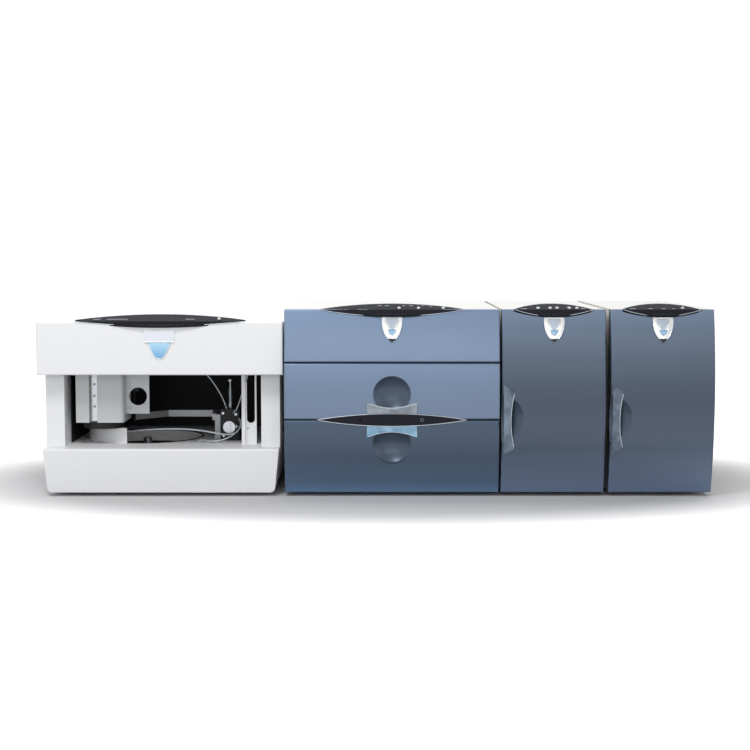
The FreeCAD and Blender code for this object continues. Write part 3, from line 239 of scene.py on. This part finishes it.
def makeFinish(name, look):
    material = bpy.data.materials.new(name)
    material.use_nodes = True
    nodes, links = material.node_tree.nodes, material.node_tree.links
    shader = nodes["Principled BSDF"]
    shader.inputs["Metallic"].default_value = look.get("metal", 0)
    shader.inputs["Coat Weight"].default_value = look.get("coat", 0)
    shader.inputs["Coat Roughness"].default_value = surface["coatRough"]
    shader.inputs["Specular IOR Level"].default_value = look.get("shine", surface["shine"])
    if "glass" in look:
        shader.inputs["Transmission Weight"].default_value = look["glass"]
        shader.inputs["IOR"].default_value = surface["glassIor"]
    where = nodes.new("ShaderNodeTexCoord")
    spread = nodes.new("ShaderNodeMapping")
    spread.inputs["Scale"].default_value = surface["brushed"] if look.get("brushed") else (1, 1, 1)
    links.new(where.outputs["Object"], spread.inputs["Vector"])
    grain = nodes.new("ShaderNodeTexNoise")
    grain.inputs["Scale"].default_value = look["grain"]
    grain.inputs["Detail"].default_value = 4
    links.new(spread.outputs["Vector"], grain.inputs["Vector"])
    cloud = nodes.new("ShaderNodeTexNoise")
    cloud.inputs["Scale"].default_value = surface["cloud"]
    cloud.inputs["Detail"].default_value = 3
    links.new(where.outputs["Object"], cloud.inputs["Vector"])
    ramp = nodes.new("ShaderNodeValToRGB")
    tones = ramp.color_ramp.elements
    # painted light and shade on the blue doors: tones placed by height
    if "heights" in look:
        floorTone, topTone = look["heights"][0][0], look["heights"][-1][0]
        tones[0].color, tones[1].color = look["heights"][0][1], look["heights"][-1][1]
        for height, colour in look["heights"][1:-1]:
            tones.new((height - floorTone) / (topTone - floorTone)).color = colour
    else:
        tones[0].color, tones[1].color = look["low"], look["high"]
        tones[0].position, tones[1].position = look.get("spread", (0.0, 1.0))
    tone = ramp.outputs["Color"]
    for x, z, radius in look.get("bowls", []):  # finger bowls are in the shade of their lips
        flat, away = nodes.new("ShaderNodeMapping"), nodes.new("ShaderNodeVectorMath")
        edge = nodes.new("ShaderNodeMapRange")
        flat.inputs["Scale"].default_value = (1, 0, 1)
        away.operation = "DISTANCE"
        away.inputs[1].default_value = (x, 0, z)
        edge.inputs["From Min"].default_value = radius
        edge.inputs["From Max"].default_value = radius - bowlShade["edge"]
        links.new(where.outputs["Object"], flat.inputs["Vector"])
        links.new(flat.outputs["Vector"], away.inputs[0])
        links.new(away.outputs["Value"], edge.inputs["Value"])
        shade = nodes.new("ShaderNodeMix")
        shade.data_type = "RGBA"
        shade.inputs["B"].default_value = bowlShade["colour"]
        links.new(edge.outputs["Result"], shade.inputs["Factor"])
        links.new(tone, shade.inputs["A"])
        tone = shade.outputs["Result"]
    links.new(tone, shader.inputs["Base Color"])
    if "rise" in look or "heights" in look:  # the tone follows the height, which on the blue doors is painted light and shade, and the grain only speckles it
        low, high = look["rise"] if "rise" in look else (floorTone, topTone)
        split, climb = nodes.new("ShaderNodeSeparateXYZ"), nodes.new("ShaderNodeMapRange")
        links.new(where.outputs["Object"], split.inputs["Vector"])
        climb.inputs["From Min"].default_value = low
        climb.inputs["From Max"].default_value = high
        climb.interpolation_type = "SMOOTHSTEP" if "rise" in look else "LINEAR"
        links.new(split.outputs["Z"], climb.inputs["Value"])
        speckle = nodes.new("ShaderNodeMix")
        speckle.inputs["Factor"].default_value = surface["riseSpeckle" if "rise" in look else "heightSpeckle"]
        links.new(climb.outputs["Result"], speckle.inputs["A"])
        links.new(grain.outputs["Fac"], speckle.inputs["B"])
        links.new(speckle.outputs["Result"], ramp.inputs["Fac"])
    else:
        soften = nodes.new("ShaderNodeMix")
        soften.inputs["Factor"].default_value = surface["mix"]
        links.new(grain.outputs["Fac"], soften.inputs["A"])
        links.new(cloud.outputs["Fac"], soften.inputs["B"])
        links.new(soften.outputs["Result"], ramp.inputs["Fac"])
    wear = nodes.new("ShaderNodeMapRange")
    wear.inputs["To Min"].default_value = max(look["rough"] - surface["smoother"], 0.02)
    wear.inputs["To Max"].default_value = look["rough"] + surface["rougher"]
    links.new(cloud.outputs["Fac"], wear.inputs["Value"])
    links.new(wear.outputs["Result"], shader.inputs["Roughness"])
    if "bump" in look:
        bump = nodes.new("ShaderNodeBump")
        bump.inputs["Strength"].default_value = look["bump"]
        bump.inputs["Distance"].default_value = surface["bumpDeep"]
        links.new(grain.outputs["Fac"], bump.inputs["Height"])
        links.new(bump.outputs["Normal"], shader.inputs["Normal"])
    return material


material = {name: makeFinish(name, look) for name, look in finishes.items()}

buttonNodes = [name for name in frame["nodes"] if "_button" in name]
nodeFinish = {
    "whiteSatin": ["sampler_housing", "sampler_cover", "guard_wall", "service_panel"],
    "greyBase": ["sampler_base"],
    "linerBlack": ["sampler_liner"],
    "keypadBlack": ["sampler_keypad", "wide_keypad", "pump_keypad", "eluent_keypad", "oval_divider"],
    "offWhite": ["wide_chassis", "pump_chassis", "eluent_chassis"],
    "blueWide": ["top_panel", "upper_door", "lower_door"],
    "bluePump": ["pump_door"],
    "blueEluent": ["eluent_door"],
    "wellBlack": ["carousel"],
    "armGrey": ["arm_housing"],
    "plateGrey": ["holed_plate", "cross_bar", "detector_cell"],
    "softBlack": ["arm_foot", "needle_carriage", "valve_body", "priming_knob_left", "priming_knob_right",
                  "power_inlets"],
    "brushedSteel": ["arm_rail", "valve_rotor", "syringe_plunger", "carousel_spindle", "hinge_brackets",
                     "pump_head_block", "injection_valve"],
    "rubberBlack": ["feet"],
    "creamPlastic": ["separation_columns", "eluent_cartridge"],
    "clearGlass": ["syringe_barrel"],
    "lipBlue": ["lower_door_grip"],
    "lipGrey": ["upper_door_grip"],
    "lipSmoke": ["pump_door_grip", "eluent_door_grip"],
    "buttonWhite": buttonNodes,
    "badgeWhite": ["sampler_badge"],
    "enamelBlue": ["sampler_badge_drop"],
    "shieldSilver": ["wide_badge", "pump_badge", "eluent_badge"],
}
for finish, names in nodeFinish.items():
    for name in names:
        mesh = frame["nodes"][name].data
        mesh.materials.clear()
        mesh.materials.append(material[finish])
bodyOf = {node: body for body, names in frame["record"]["behaviour"]["bodies"].items() for node in names}
print("finishes made:", len(material))


# Mesh tools
def addPiece(name, work, finish, node, smooth=True, bevel=0.0):
    # the new piece rides on the body of the CAD node it belongs to and takes the finish it is given
    bmesh.ops.recalc_face_normals(work, faces=work.faces)
    mesh = bpy.data.meshes.new(name)
    work.to_mesh(mesh)
    work.free()
    mesh.polygons.foreach_set("use_smooth", [smooth] * len(mesh.polygons))
    piece = bpy.data.objects.new(name, mesh)
    bpy.context.collection.objects.link(piece)
    mesh.materials.append(material[finish])
    if bevel:
        rounding = piece.modifiers.new("rounding", "BEVEL")
        rounding.width = bevel
        rounding.segments = 3
        rounding.limit_method = "ANGLE"
        rounding.angle_limit = math.radians(35)
        rounding.harden_normals = True
    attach(piece, bodyOf[node])
    return piece


def addTube(name, points, radius, finish, node):
    curve = bpy.data.curves.new(name, "CURVE")
    curve.dimensions = "3D"
    curve.bevel_depth = radius
    curve.bevel_resolution = 4
    curve.resolution_u = 8
    curve.use_fill_caps = True
    line = curve.splines.new("NURBS")
    line.points.add(len(points) - 1)
    for spot, point in zip(line.points, points):
        spot.co = (*point, 1)
    line.order_u = 3
    line.use_endpoint_u = True
    piece = bpy.data.objects.new(name, curve)
    bpy.context.collection.objects.link(piece)
    curve.materials.append(material[finish])
    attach(piece, bodyOf[node])


def spin(work, profile, place, axis, steps=32):
    # profile is (radius, along) from one end to the other, closed at both ends
    axis = Vector(axis).normalized()
    side = axis.orthogonal().normalized()
    other = axis.cross(side)
    rings = []
    for radius, along in profile:
        middle = Vector(place) + axis * along
        if radius < 1e-6:
            rings.append([work.verts.new(middle)])
            continue
        rings.append([work.verts.new(middle + (side * math.cos(turn) + other * math.sin(turn)) * radius)
                      for turn in (2 * math.pi * step / steps for step in range(steps))])
    for first, second in zip(rings, rings[1:]):
        for step in range(steps):
            following = (step + 1) % steps
            corners = [first[step % len(first)], first[following % len(first)],
                       second[following % len(second)], second[step % len(second)]]
            corners = [corner for i, corner in enumerate(corners) if corner not in corners[:i]]
            if len(corners) > 2:
                work.faces.new(corners)
    for ring in (rings[0], rings[-1]):
        if len(ring) > 1:
            work.faces.new(ring)


def sweepRing(work, path, radius, sides=10):
    # closed tube along a closed path
    rings = []
    for i, point in enumerate(path):
        along = (path[(i + 1) % len(path)] - path[i - 1]).normalized()
        side = along.cross(padNormal).normalized()
        up = side.cross(along).normalized()
        rings.append([work.verts.new(point + (side * math.cos(turn) + up * math.sin(turn)) * radius)
                      for turn in (2 * math.pi * step / sides for step in range(sides))])
    for first, second in zip(rings, rings[1:] + rings[:1]):
        for step in range(sides):
            following = (step + 1) % sides
            work.faces.new((first[step], first[following], second[following], second[step]))


def solidSheet(work, rows, thick):
    # rows of points make the front, thick is the vector to the back
    front = [[work.verts.new(point) for point in row] for row in rows]
    back = [[work.verts.new(point + thick) for point in row] for row in rows]
    for sheet in (front, back):
        for first, second in zip(sheet, sheet[1:]):
            for i in range(len(first) - 1):
                work.faces.new((first[i], first[i + 1], second[i + 1], second[i]))
    for i in range(len(rows) - 1):
        for j in (0, -1):
            work.faces.new((front[i][j], front[i + 1][j], back[i + 1][j], back[i][j]))
    for j in range(len(rows[0]) - 1):
        for i in (0, -1):
            work.faces.new((front[i][j], front[i][j + 1], back[i][j + 1], back[i][j]))


def squareBar(work, low, high):
    corners = [(x, y, z) for x in (low[0], high[0]) for y in (low[1], high[1]) for z in (low[2], high[2])]
    verts = [work.verts.new(corner) for corner in corners]
    for a, b, c, d in ((0, 1, 3, 2), (4, 6, 7, 5), (0, 4, 5, 1), (2, 3, 7, 6), (0, 2, 6, 4), (1, 5, 7, 3)):
        work.faces.new((verts[a], verts[b], verts[c], verts[d]))


def ovalArc(half, rise, steps=48):
    # half an oval from tip to tip, as (across, up)
    bend = (half ** 2 + rise ** 2) / (2 * rise)
    reach = math.asin(half / bend)
    turns = [-reach + 2 * reach * step / steps for step in range(steps + 1)]
    return [(bend * math.sin(turn), bend * math.cos(turn) - (bend - rise)) for turn in turns]


def circlePath(centre, radius, steps, second):
    # circle through the x axis and the second direction
    turns = [2 * math.pi * step / steps for step in range(steps)]
    return [centre + Vector((radius * math.cos(turn), 0, 0)) + second * (radius * math.sin(turn)) for turn in turns]


def middleOf(node):
    low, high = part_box(node)
    return (low + high) / 2


upward, backward = Vector((0, 0, 1)), Vector((0, 1, 0))

# The blue fronts bulge in one curve, and the seam between the wide module's doors crosses it
front = {"rim": -0.241, "bulge": 0.024, "low": 0.008, "high": 0.379, "seam": 0.1582}


def faceY(height):
    middle, half = (front["low"] + front["high"]) / 2, (front["high"] - front["low"]) / 2
    return front["rim"] - front["bulge"] * (1 - ((height - middle) / half) ** 2)


def ahead(gap):
    # the same curve moved forward by gap
    return lambda height: faceY(height) - gap


# Keypads: pale rim along the back arc and plain printed dashes as (across, up, length)
keypad = {"tilt": 20, "halfWidth": 0.030, "rimRadius": 0.0007, "rimInset": (0.0008, 0.0010), "rimDrop": 0.0006,
          "dashDeep": 0.0002, "dashHigh": 0.0014}
dashes = {
    "sampler_keypad": [(-0.128, 0.002, 0.016), (-0.104, 0.002, 0.008), (-0.083, 0.002, 0.034), (0.060, 0.002, 0.018)],
    "wide_keypad": [(-0.108, -0.004, 0.016), (-0.092, -0.004, 0.008), (-0.059, -0.004, 0.020), (-0.025, 0.017, 0.008),
                    (-0.010, 0.017, 0.009), (0.024, 0.017, 0.006), (0.039, 0.017, 0.007), (0.063, 0.016, 0.006),
                    (0.079, 0.014, 0.008), (-0.018, -0.006, 0.009), (0.031, -0.007, 0.010), (0.070, -0.007, 0.011)],
    "pump_keypad": [(-0.058, 0.001, 0.012), (-0.029, 0.010, 0.006), (-0.005, 0.010, 0.006), (0.009, 0.010, 0.006),
                    (0.033, 0.010, 0.006), (0.062, 0.001, 0.010)],
    "eluent_keypad": [(-0.056, 0.001, 0.012), (-0.020, 0.001, 0.008), (0.006, 0.001, 0.008), (0.026, 0.001, 0.006)],
}
tilt = math.radians(keypad["tilt"])
padUp, padNormal = Vector((0, math.cos(tilt), math.sin(tilt))), Vector((0, -math.sin(tilt), math.cos(tilt)))


def padFrame(node):
    low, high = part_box(node)
    width = keypad["halfWidth"]
    middle = Vector(((low.x + high.x) / 2, low.y + width * math.cos(tilt), high.z - width * math.sin(tilt)))
    return middle, (high.x - low.x) / 2


for node in dashes:
    middle, half = padFrame(node)
    endInset, arcInset = keypad["rimInset"]
    backArc = [middle + Vector((across, 0, 0)) + padUp * up - padNormal * keypad["rimDrop"]
               for across, up in ovalArc(half - endInset, keypad["halfWidth"] - arcInset)]
    addTube(node + "_rim", backArc[::3], keypad["rimRadius"], "padRim", node)
    marks = bmesh.new()
    for across, up, length in dashes[node]:
        start = middle + Vector((across - length / 2, 0, 0)) + padUp * up + padNormal * keypad["dashDeep"]
        rows = [[start + Vector((length * i / 3, 0, 0)) + padUp * rise for i in range(4)]
                for rise in (0, keypad["dashHigh"])]
        solidSheet(marks, rows, -padNormal * keypad["dashDeep"])
    addPiece(node + "_marks", marks, "inkWhite", node, smooth=False)

# Buttons: a stem under a domed cap as (share of the radius, height)
button = {"radius": 0.0036, "stem": 0.8, "foot": -0.0018, "neck": 0.0022,
          "cap": [(1, 0.0023), (1, 0.0032), (0.86, 0.0044), (0.6, 0.0052), (0.3, 0.0055), (0, 0.0056)]}
stem = button["radius"] * button["stem"]
buttonProfile = [(0, button["foot"]), (stem, button["foot"]), (stem, button["neck"])]
buttonProfile += [(button["radius"] * share, height) for share, height in button["cap"]]
for node in buttonNodes:
    work = bmesh.new()
    spin(work, buttonProfile, middleOf(node), padNormal)
    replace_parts(addPiece(node + "_domed", work, "buttonWhite", node), node)
print("keypads dressed")

# Aprons: the lower half of each oval, which closes the pad's front down to its foot, as (foot, seat, front)
apron = {"thick": 0.0012, "gap": 0.0006, "overlap": 0.0002, "edgeSet": 0.4, "weld": 0.00002}
aprons = {
    "sampler_keypad": (0.3462, 0.3552, lambda height: -0.245),
    "wide_keypad": (0.3655, 0.3785, ahead(0.0002)),
    "pump_keypad": (0.3655, 0.3785, ahead(0.0002)),
    "eluent_keypad": (0.3655, 0.3785, ahead(0.0002)),
}
for node, (foot, seat, frontAt) in aprons.items():
    low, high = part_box(node)
    centreX, half = (low.x + high.x) / 2, (high.x - low.x) / 2
    rows = []
    for i in range(33):
        across = -1 + 2 * i / 32
        bottom = seat - (seat - foot) * (1 - across ** 2)
        heights = [bottom + (seat + apron["overlap"] - bottom) * j / 6 for j in range(7)]
        rows.append([Vector((centreX + across * half, frontAt(z) - apron["gap"] - apron["thick"], z)) for z in heights])
    work = bmesh.new()
    solidSheet(work, rows, backward * apron["thick"])
    bmesh.ops.remove_doubles(work, verts=work.verts, dist=apron["weld"])
    addPiece(node + "_apron", work, "keypadBlack", node, smooth=False)
    arc = [row[0] + backward * (apron["thick"] * apron["edgeSet"]) for row in rows[::2]]
    addTube(node + "_apron_edge", arc, keypad["rimRadius"], "padRim", node)

# Door grips: thin clear lips with rounded edges follow the doors' bulge
lip = {"thick": 0.0026, "gap": 0.0004, "shave": 0.0003, "crown": 0.00066, "bevel": 0.0008, "edge": 0.0006}
wideLip = {"waist": 0.0125, "rootBow": 0.0018, "flare": 0.02}
narrowLip = {"waist": 0.66, "ends": 0.99, "rootGap": 0.0006, "slant": 0.012}


def lipY(height, share):
    # share runs from the lip's root to its free side
    return faceY(height) - lip["gap"] - lip["thick"] + lip["crown"] * (2 * share - 1) ** 2


def addLip(node, rows, freeSide, finish):
    work = bmesh.new()
    solidSheet(work, rows, backward * (lip["thick"] - lip["shave"]))
    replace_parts(addPiece(node + "_lip", work, finish, node, bevel=lip["bevel"]), node)
    edge = [point + backward * (lip["edge"] * 0.5) for point in freeSide[1:-1:2]]  # pale tube along the free side: painted highlight where the lip's edge catches light
    addTube(node + "_edge", edge, lip["edge"], "lipEdgeHighlight", node)


for node, side, finish in (("upper_door_grip", 1, "lipGrey"), ("lower_door_grip", -1, "lipBlue")):
    low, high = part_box(node)
    centreX, half, tall = (low.x + high.x) / 2, (high.x - low.x) / 2, high.z - low.z
    root = low.z if side == 1 else high.z
    rows = []
    for i in range(9):
        share, row = i / 8, []
        for j in range(25):
            across = -1 + 2 * j / 24
            near = root + side * wideLip["rootBow"] * (1 - across ** 2)
            far = root + side * (wideLip["waist"] + (tall - wideLip["waist"]) * across ** 2)
            z = near + (far - near) * share
            x = centreX + across * half * (1 - wideLip["flare"] * (1 - share))
            row.append(Vector((x, lipY(z, share), z)))
        rows.append(row)
    addLip(node, rows, rows[-1], finish)

for node in ("pump_door_grip", "eluent_door_grip"):
    low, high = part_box(node)
    middleZ, half, wide = (low.z + high.z) / 2, (high.z - low.z) / 2, high.x - low.x
    near = low.x + narrowLip["rootGap"]
    rows = []
    for i in range(25):
        up, row = -1 + 2 * i / 24, []
        far = low.x + wide * (narrowLip["waist"] + (narrowLip["ends"] - narrowLip["waist"]) * up ** 2)
        for j in range(9):
            share = j / 8
            z = middleZ + up * (half - narrowLip["slant"] * share)
            row.append(Vector((near + (far - near) * share, lipY(z, share), z)))
        rows.append(row)
    addLip(node, rows, [row[-1] for row in rows], "lipSmoke")

# Oval divider: pale rim, two small dark sight marks and a thin ring round the right one
divider = {"rise": 0.0127, "rim": 0.0009, "marks": (-0.0635, 0.0605), "markSet": 0.0001,
           "markProfile": [(0, 0), (0.0026, 0), (0.00208, 0.0006), (0, 0.0008)],
           "ringRadius": 0.0031, "ringThick": 0.0003, "ringAhead": 0.0004}
low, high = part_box("oval_divider")
ovalMiddle = Vector(((low.x + high.x) / 2, low.y, front["seam"]))
halfOval = [Vector((across, 0, up)) for across, up in ovalArc((high.x - low.x) / 2, divider["rise"])[:-1]]
work = bmesh.new()
sweepRing(work, [ovalMiddle + point for point in halfOval] + [ovalMiddle - point for point in halfOval], divider["rim"])
addPiece("oval_divider_rim", work, "padRim", "oval_divider")
work = bmesh.new()
for across in divider["marks"]:
    spin(work, divider["markProfile"], ovalMiddle + Vector((across, divider["markSet"], 0)), -backward, 20)
addPiece("oval_divider_marks", work, "wellBlack", "oval_divider")
work = bmesh.new()
ringMiddle = ovalMiddle + Vector((divider["marks"][1], -divider["ringAhead"], 0))
sweepRing(work, circlePath(ringMiddle, divider["ringRadius"], 18, upward), divider["ringThick"], 6)
addPiece("oval_divider_mark_ring", work, "padRim", "oval_divider")
print("grips and divider dressed")

# Badges: a bright rim round a domed field; the shields carry a window, a blue inset and a dark tip
badge = {"rim": 0.0016, "dome": 0.0016, "ahead": 0.0024, "rimShare": 0.45, "rimAhead": 0.0004, "deep": 0.0022,
         "slices": (1.0, 0.97, 0.9, 0.75, 0.5, 0.2), "belly": 2.6, "point": 0.75}
shieldLayers = {  # width, start and height in shares of the shield
    "window": dict(wide=0.58, start=0.07, tall=0.72, ahead=0.0034, dome=0.0006, rim=0.0003, finish="shieldField"),
    "inset": dict(wide=0.36, start=0.5, tall=0.24, ahead=0.0042, dome=0.0005, rim=0.0002, finish="shieldBlue"),
}
shieldTip = {"wide": 0.92, "start": 0.82, "ahead": 0.0036, "dome": 0.0004, "rim": 0.0002}
drop = {"set": 0.0016, "dome": 0.0014, "rim": 0.0007}
badgeLine = {"ahead": 0.0002, "deep": 0.0008, "tall": 0.0016, "bevel": 0.0003}


def shieldOutline(half, top, tall, steps=18):
    # from the top left corner round the pointed foot
    right = []
    for step in range(steps + 1):
        share = math.sin(math.pi / 2 * step / steps)
        right.append((half * (1 - share ** badge["belly"]) ** badge["point"], top - tall * share))
    return [(-x, z) for x, z in right] + [(x, z) for x, z in reversed(right[:-1])]


def domedBadge(name, node, outline, frontAt, centreX, finish, rimFinish, dome, rim):
    middleX, middleZ = (sum(values) / len(outline) for values in zip(*outline))
    work = bmesh.new()
    rings = [[work.verts.new((centreX + x, frontAt(z) + badge["deep"], z)) for x, z in outline]]
    for share in badge["slices"]:
        ring = []
        for x, z in outline:
            inX, inZ = middleX + (x - middleX) * share, middleZ + (z - middleZ) * share
            ring.append(work.verts.new((centreX + inX, frontAt(inZ) - dome * (1 - share ** 3), inZ)))
        rings.append(ring)
    for first, second in zip(rings, rings[1:]):
        for i in range(len(first)):
            j = (i + 1) % len(first)
            work.faces.new((first[i], first[j], second[j], second[i]))
    work.faces.new(rings[-1])
    work.faces.new(rings[0])
    field = addPiece(name + "_field", work, finish, node)
    work = bmesh.new()
    sweepRing(work, [Vector((centreX + x, frontAt(z) - badge["rimAhead"], z)) for x, z in outline], rim, 8)
    addPiece(name + "_rim", work, rimFinish, node)
    return field


for node in ("wide_badge", "pump_badge", "eluent_badge"):
    low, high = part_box(node)
    half, tall, top, centreX = (high.x - low.x) / 2, high.z - low.z, high.z, (low.x + high.x) / 2
    outline = shieldOutline(half - badge["rim"] / 2, top - badge["rim"] / 2, tall - badge["rim"])
    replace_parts(domedBadge(node, node, outline, ahead(badge["ahead"]), centreX, "shieldSilver", "brightChrome",
                           badge["dome"], badge["rim"] * badge["rimShare"]), node)
    for layer, look in shieldLayers.items():
        outline = shieldOutline(half * look["wide"], top - tall * look["start"], tall * look["tall"])
        domedBadge(node + "_" + layer, node, outline, ahead(look["ahead"]), centreX, look["finish"], "padRim",
                   look["dome"], look["rim"])
    outline = [(x * shieldTip["wide"], z) for x, z in shieldOutline(half, top, tall)
               if z < top - tall * shieldTip["start"]]
    domedBadge(node + "_tip", node, outline, ahead(shieldTip["ahead"]), centreX, "softBlack", "padRim",
               shieldTip["dome"], shieldTip["rim"])

low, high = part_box("sampler_badge_drop")
dropFront, half, tall = low.y + drop["set"], (high.x - low.x) / 2, high.z - low.z
outline = [(half * step / 15, high.z - tall * (1 - (step / 15) ** 2)) for step in range(-15, 16)]
field = domedBadge("sampler_badge_drop", "sampler_badge_drop", outline, lambda height: dropFront,
                   (low.x + high.x) / 2, "enamelBlue", "brightChrome", drop["dome"], drop["rim"])
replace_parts(field, "sampler_badge_drop")
low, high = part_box("sampler_badge")
work = bmesh.new()
squareBar(work, (low.x, low.y - badgeLine["ahead"], low.z),
          (high.x, low.y + badgeLine["deep"], low.z + badgeLine["tall"]))
addPiece("sampler_badge_line", work, "brightChrome", "sampler_badge", smooth=False, bevel=badgeLine["bevel"])
print("badges dressed")

# Autosampler inside: screw heads, the plate's hole rim, tubing and the well's edge
screw = {"head": 0.0018, "edge": 0.85, "socket": 0.45, "socketFoot": 0.4}


def addScrews(name, node, spots, radius, finish="brushedSteel"):
    head, foot = screw["head"], screw["head"] * screw["socketFoot"]
    profile = [(0, 0), (radius, 0), (radius, head / 2), (radius * screw["edge"], head),
               (radius * screw["socket"], head), (radius * screw["socketFoot"], foot), (0, foot)]
    work = bmesh.new()
    for place in spots:
        spin(work, profile, place, -backward, 20)
    addPiece(name, work, finish, node)


low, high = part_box("arm_rail")
addScrews("rail_screws", "arm_rail", [((low.x + high.x) / 2, low.y, z) for z in (0.176, 0.198, 0.222, 0.300)], 0.0028)

low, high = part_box("holed_plate")
left, right = low.x + 0.009, high.x - 0.008
addScrews("plate_screws", "holed_plate",
          [(left, low.y, 0.215), (right, low.y, 0.178), (left, low.y, 0.172), (right, low.y, 0.300)], 0.0032)
holeRim = {"across": 0.026, "height": 0.196, "radius": 0.0192, "thick": 0.0009, "ahead": 0.0002}
work = bmesh.new()
holeMiddle = Vector((low.x + holeRim["across"], low.y - holeRim["ahead"], holeRim["height"]))
sweepRing(work, circlePath(holeMiddle, holeRim["radius"], 24, upward), holeRim["thick"], 8)
addPiece("plate_hole_rim", work, "brushedSteel", "holed_plate")

low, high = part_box("service_panel")
recess = low.y + 0.009
addScrews("panel_screws", "service_panel", [(low.x + 0.012, recess, 0.130), (high.x - 0.004, recess, 0.300)], 0.0026)

low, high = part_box("valve_body")
addScrews("valve_screws", "valve_body",
          [(low.x + 0.006, low.y, high.z - 0.008), (high.x - 0.007, low.y, high.z - 0.010),
           (high.x - 0.006, low.y, low.z + 0.030), (low.x + 0.007, low.y, low.z + 0.010)], 0.0032, "brightChrome")

tubes = {  # each runs from one piece into another
    "waste_tube": dict(radius=0.0016, points=[
        (-0.560, -0.1380, 0.1120), (-0.545, -0.128, 0.1150), (-0.5150, -0.120, 0.1175), (-0.480, -0.130, 0.1225),
        (-0.4200, -0.138, 0.1255), (-0.368, -0.140, 0.1230), (-0.330, -0.142, 0.1160), (-0.3040, -0.139, 0.1120),
        (-0.286, -0.130, 0.1180), (-0.280, -0.118, 0.1400), (-0.292, -0.104, 0.1480)]),
    "sample_tube": dict(radius=0.0011, points=[
        (-0.524, -0.140, 0.3000), (-0.505, -0.142, 0.3050), (-0.470, -0.146, 0.3070), (-0.430, -0.150, 0.3000),
        (-0.385, -0.150, 0.2760), (-0.345, -0.140, 0.2350), (-0.322, -0.126, 0.1950), (-0.314, -0.112, 0.1700),
        (-0.312, -0.104, 0.1600)]),
    "transfer_tube": dict(radius=0.0011, points=[
        (-0.301, -0.104, 0.1540), (-0.299, -0.118, 0.1570), (-0.288, -0.140, 0.1660), (-0.276, -0.160, 0.2000),
        (-0.262, -0.172, 0.2400), (-0.256, -0.160, 0.2700), (-0.252, -0.125, 0.3000), (-0.248, -0.100, 0.3360)]),
    "drain_tube": dict(radius=0.0012, points=[
        (-0.376, -0.116, 0.0940), (-0.366, -0.124, 0.1020), (-0.345, -0.150, 0.1000), (-0.318, -0.160, 0.1035),
        (-0.296, -0.145, 0.1120), (-0.290, -0.120, 0.1180), (-0.292, -0.104, 0.1210)]),
}
for name, tube in tubes.items():
    addTube(name, tube["points"], tube["radius"], "tubeClear", "syringe_barrel")

wellEdge = {"radius": 0.1186, "height": 0.0974, "thick": 0.0014}
spindle = middleOf("carousel_spindle")
wellRing = bmesh.new()
wellMiddle = Vector((spindle.x, spindle.y, wellEdge["height"]))
sweepRing(wellRing, circlePath(wellMiddle, wellEdge["radius"], 72, backward), wellEdge["thick"], 8)
addPiece("well_edge_trim", wellRing, "softBlack", "sampler_liner")
print("autosampler dressed")
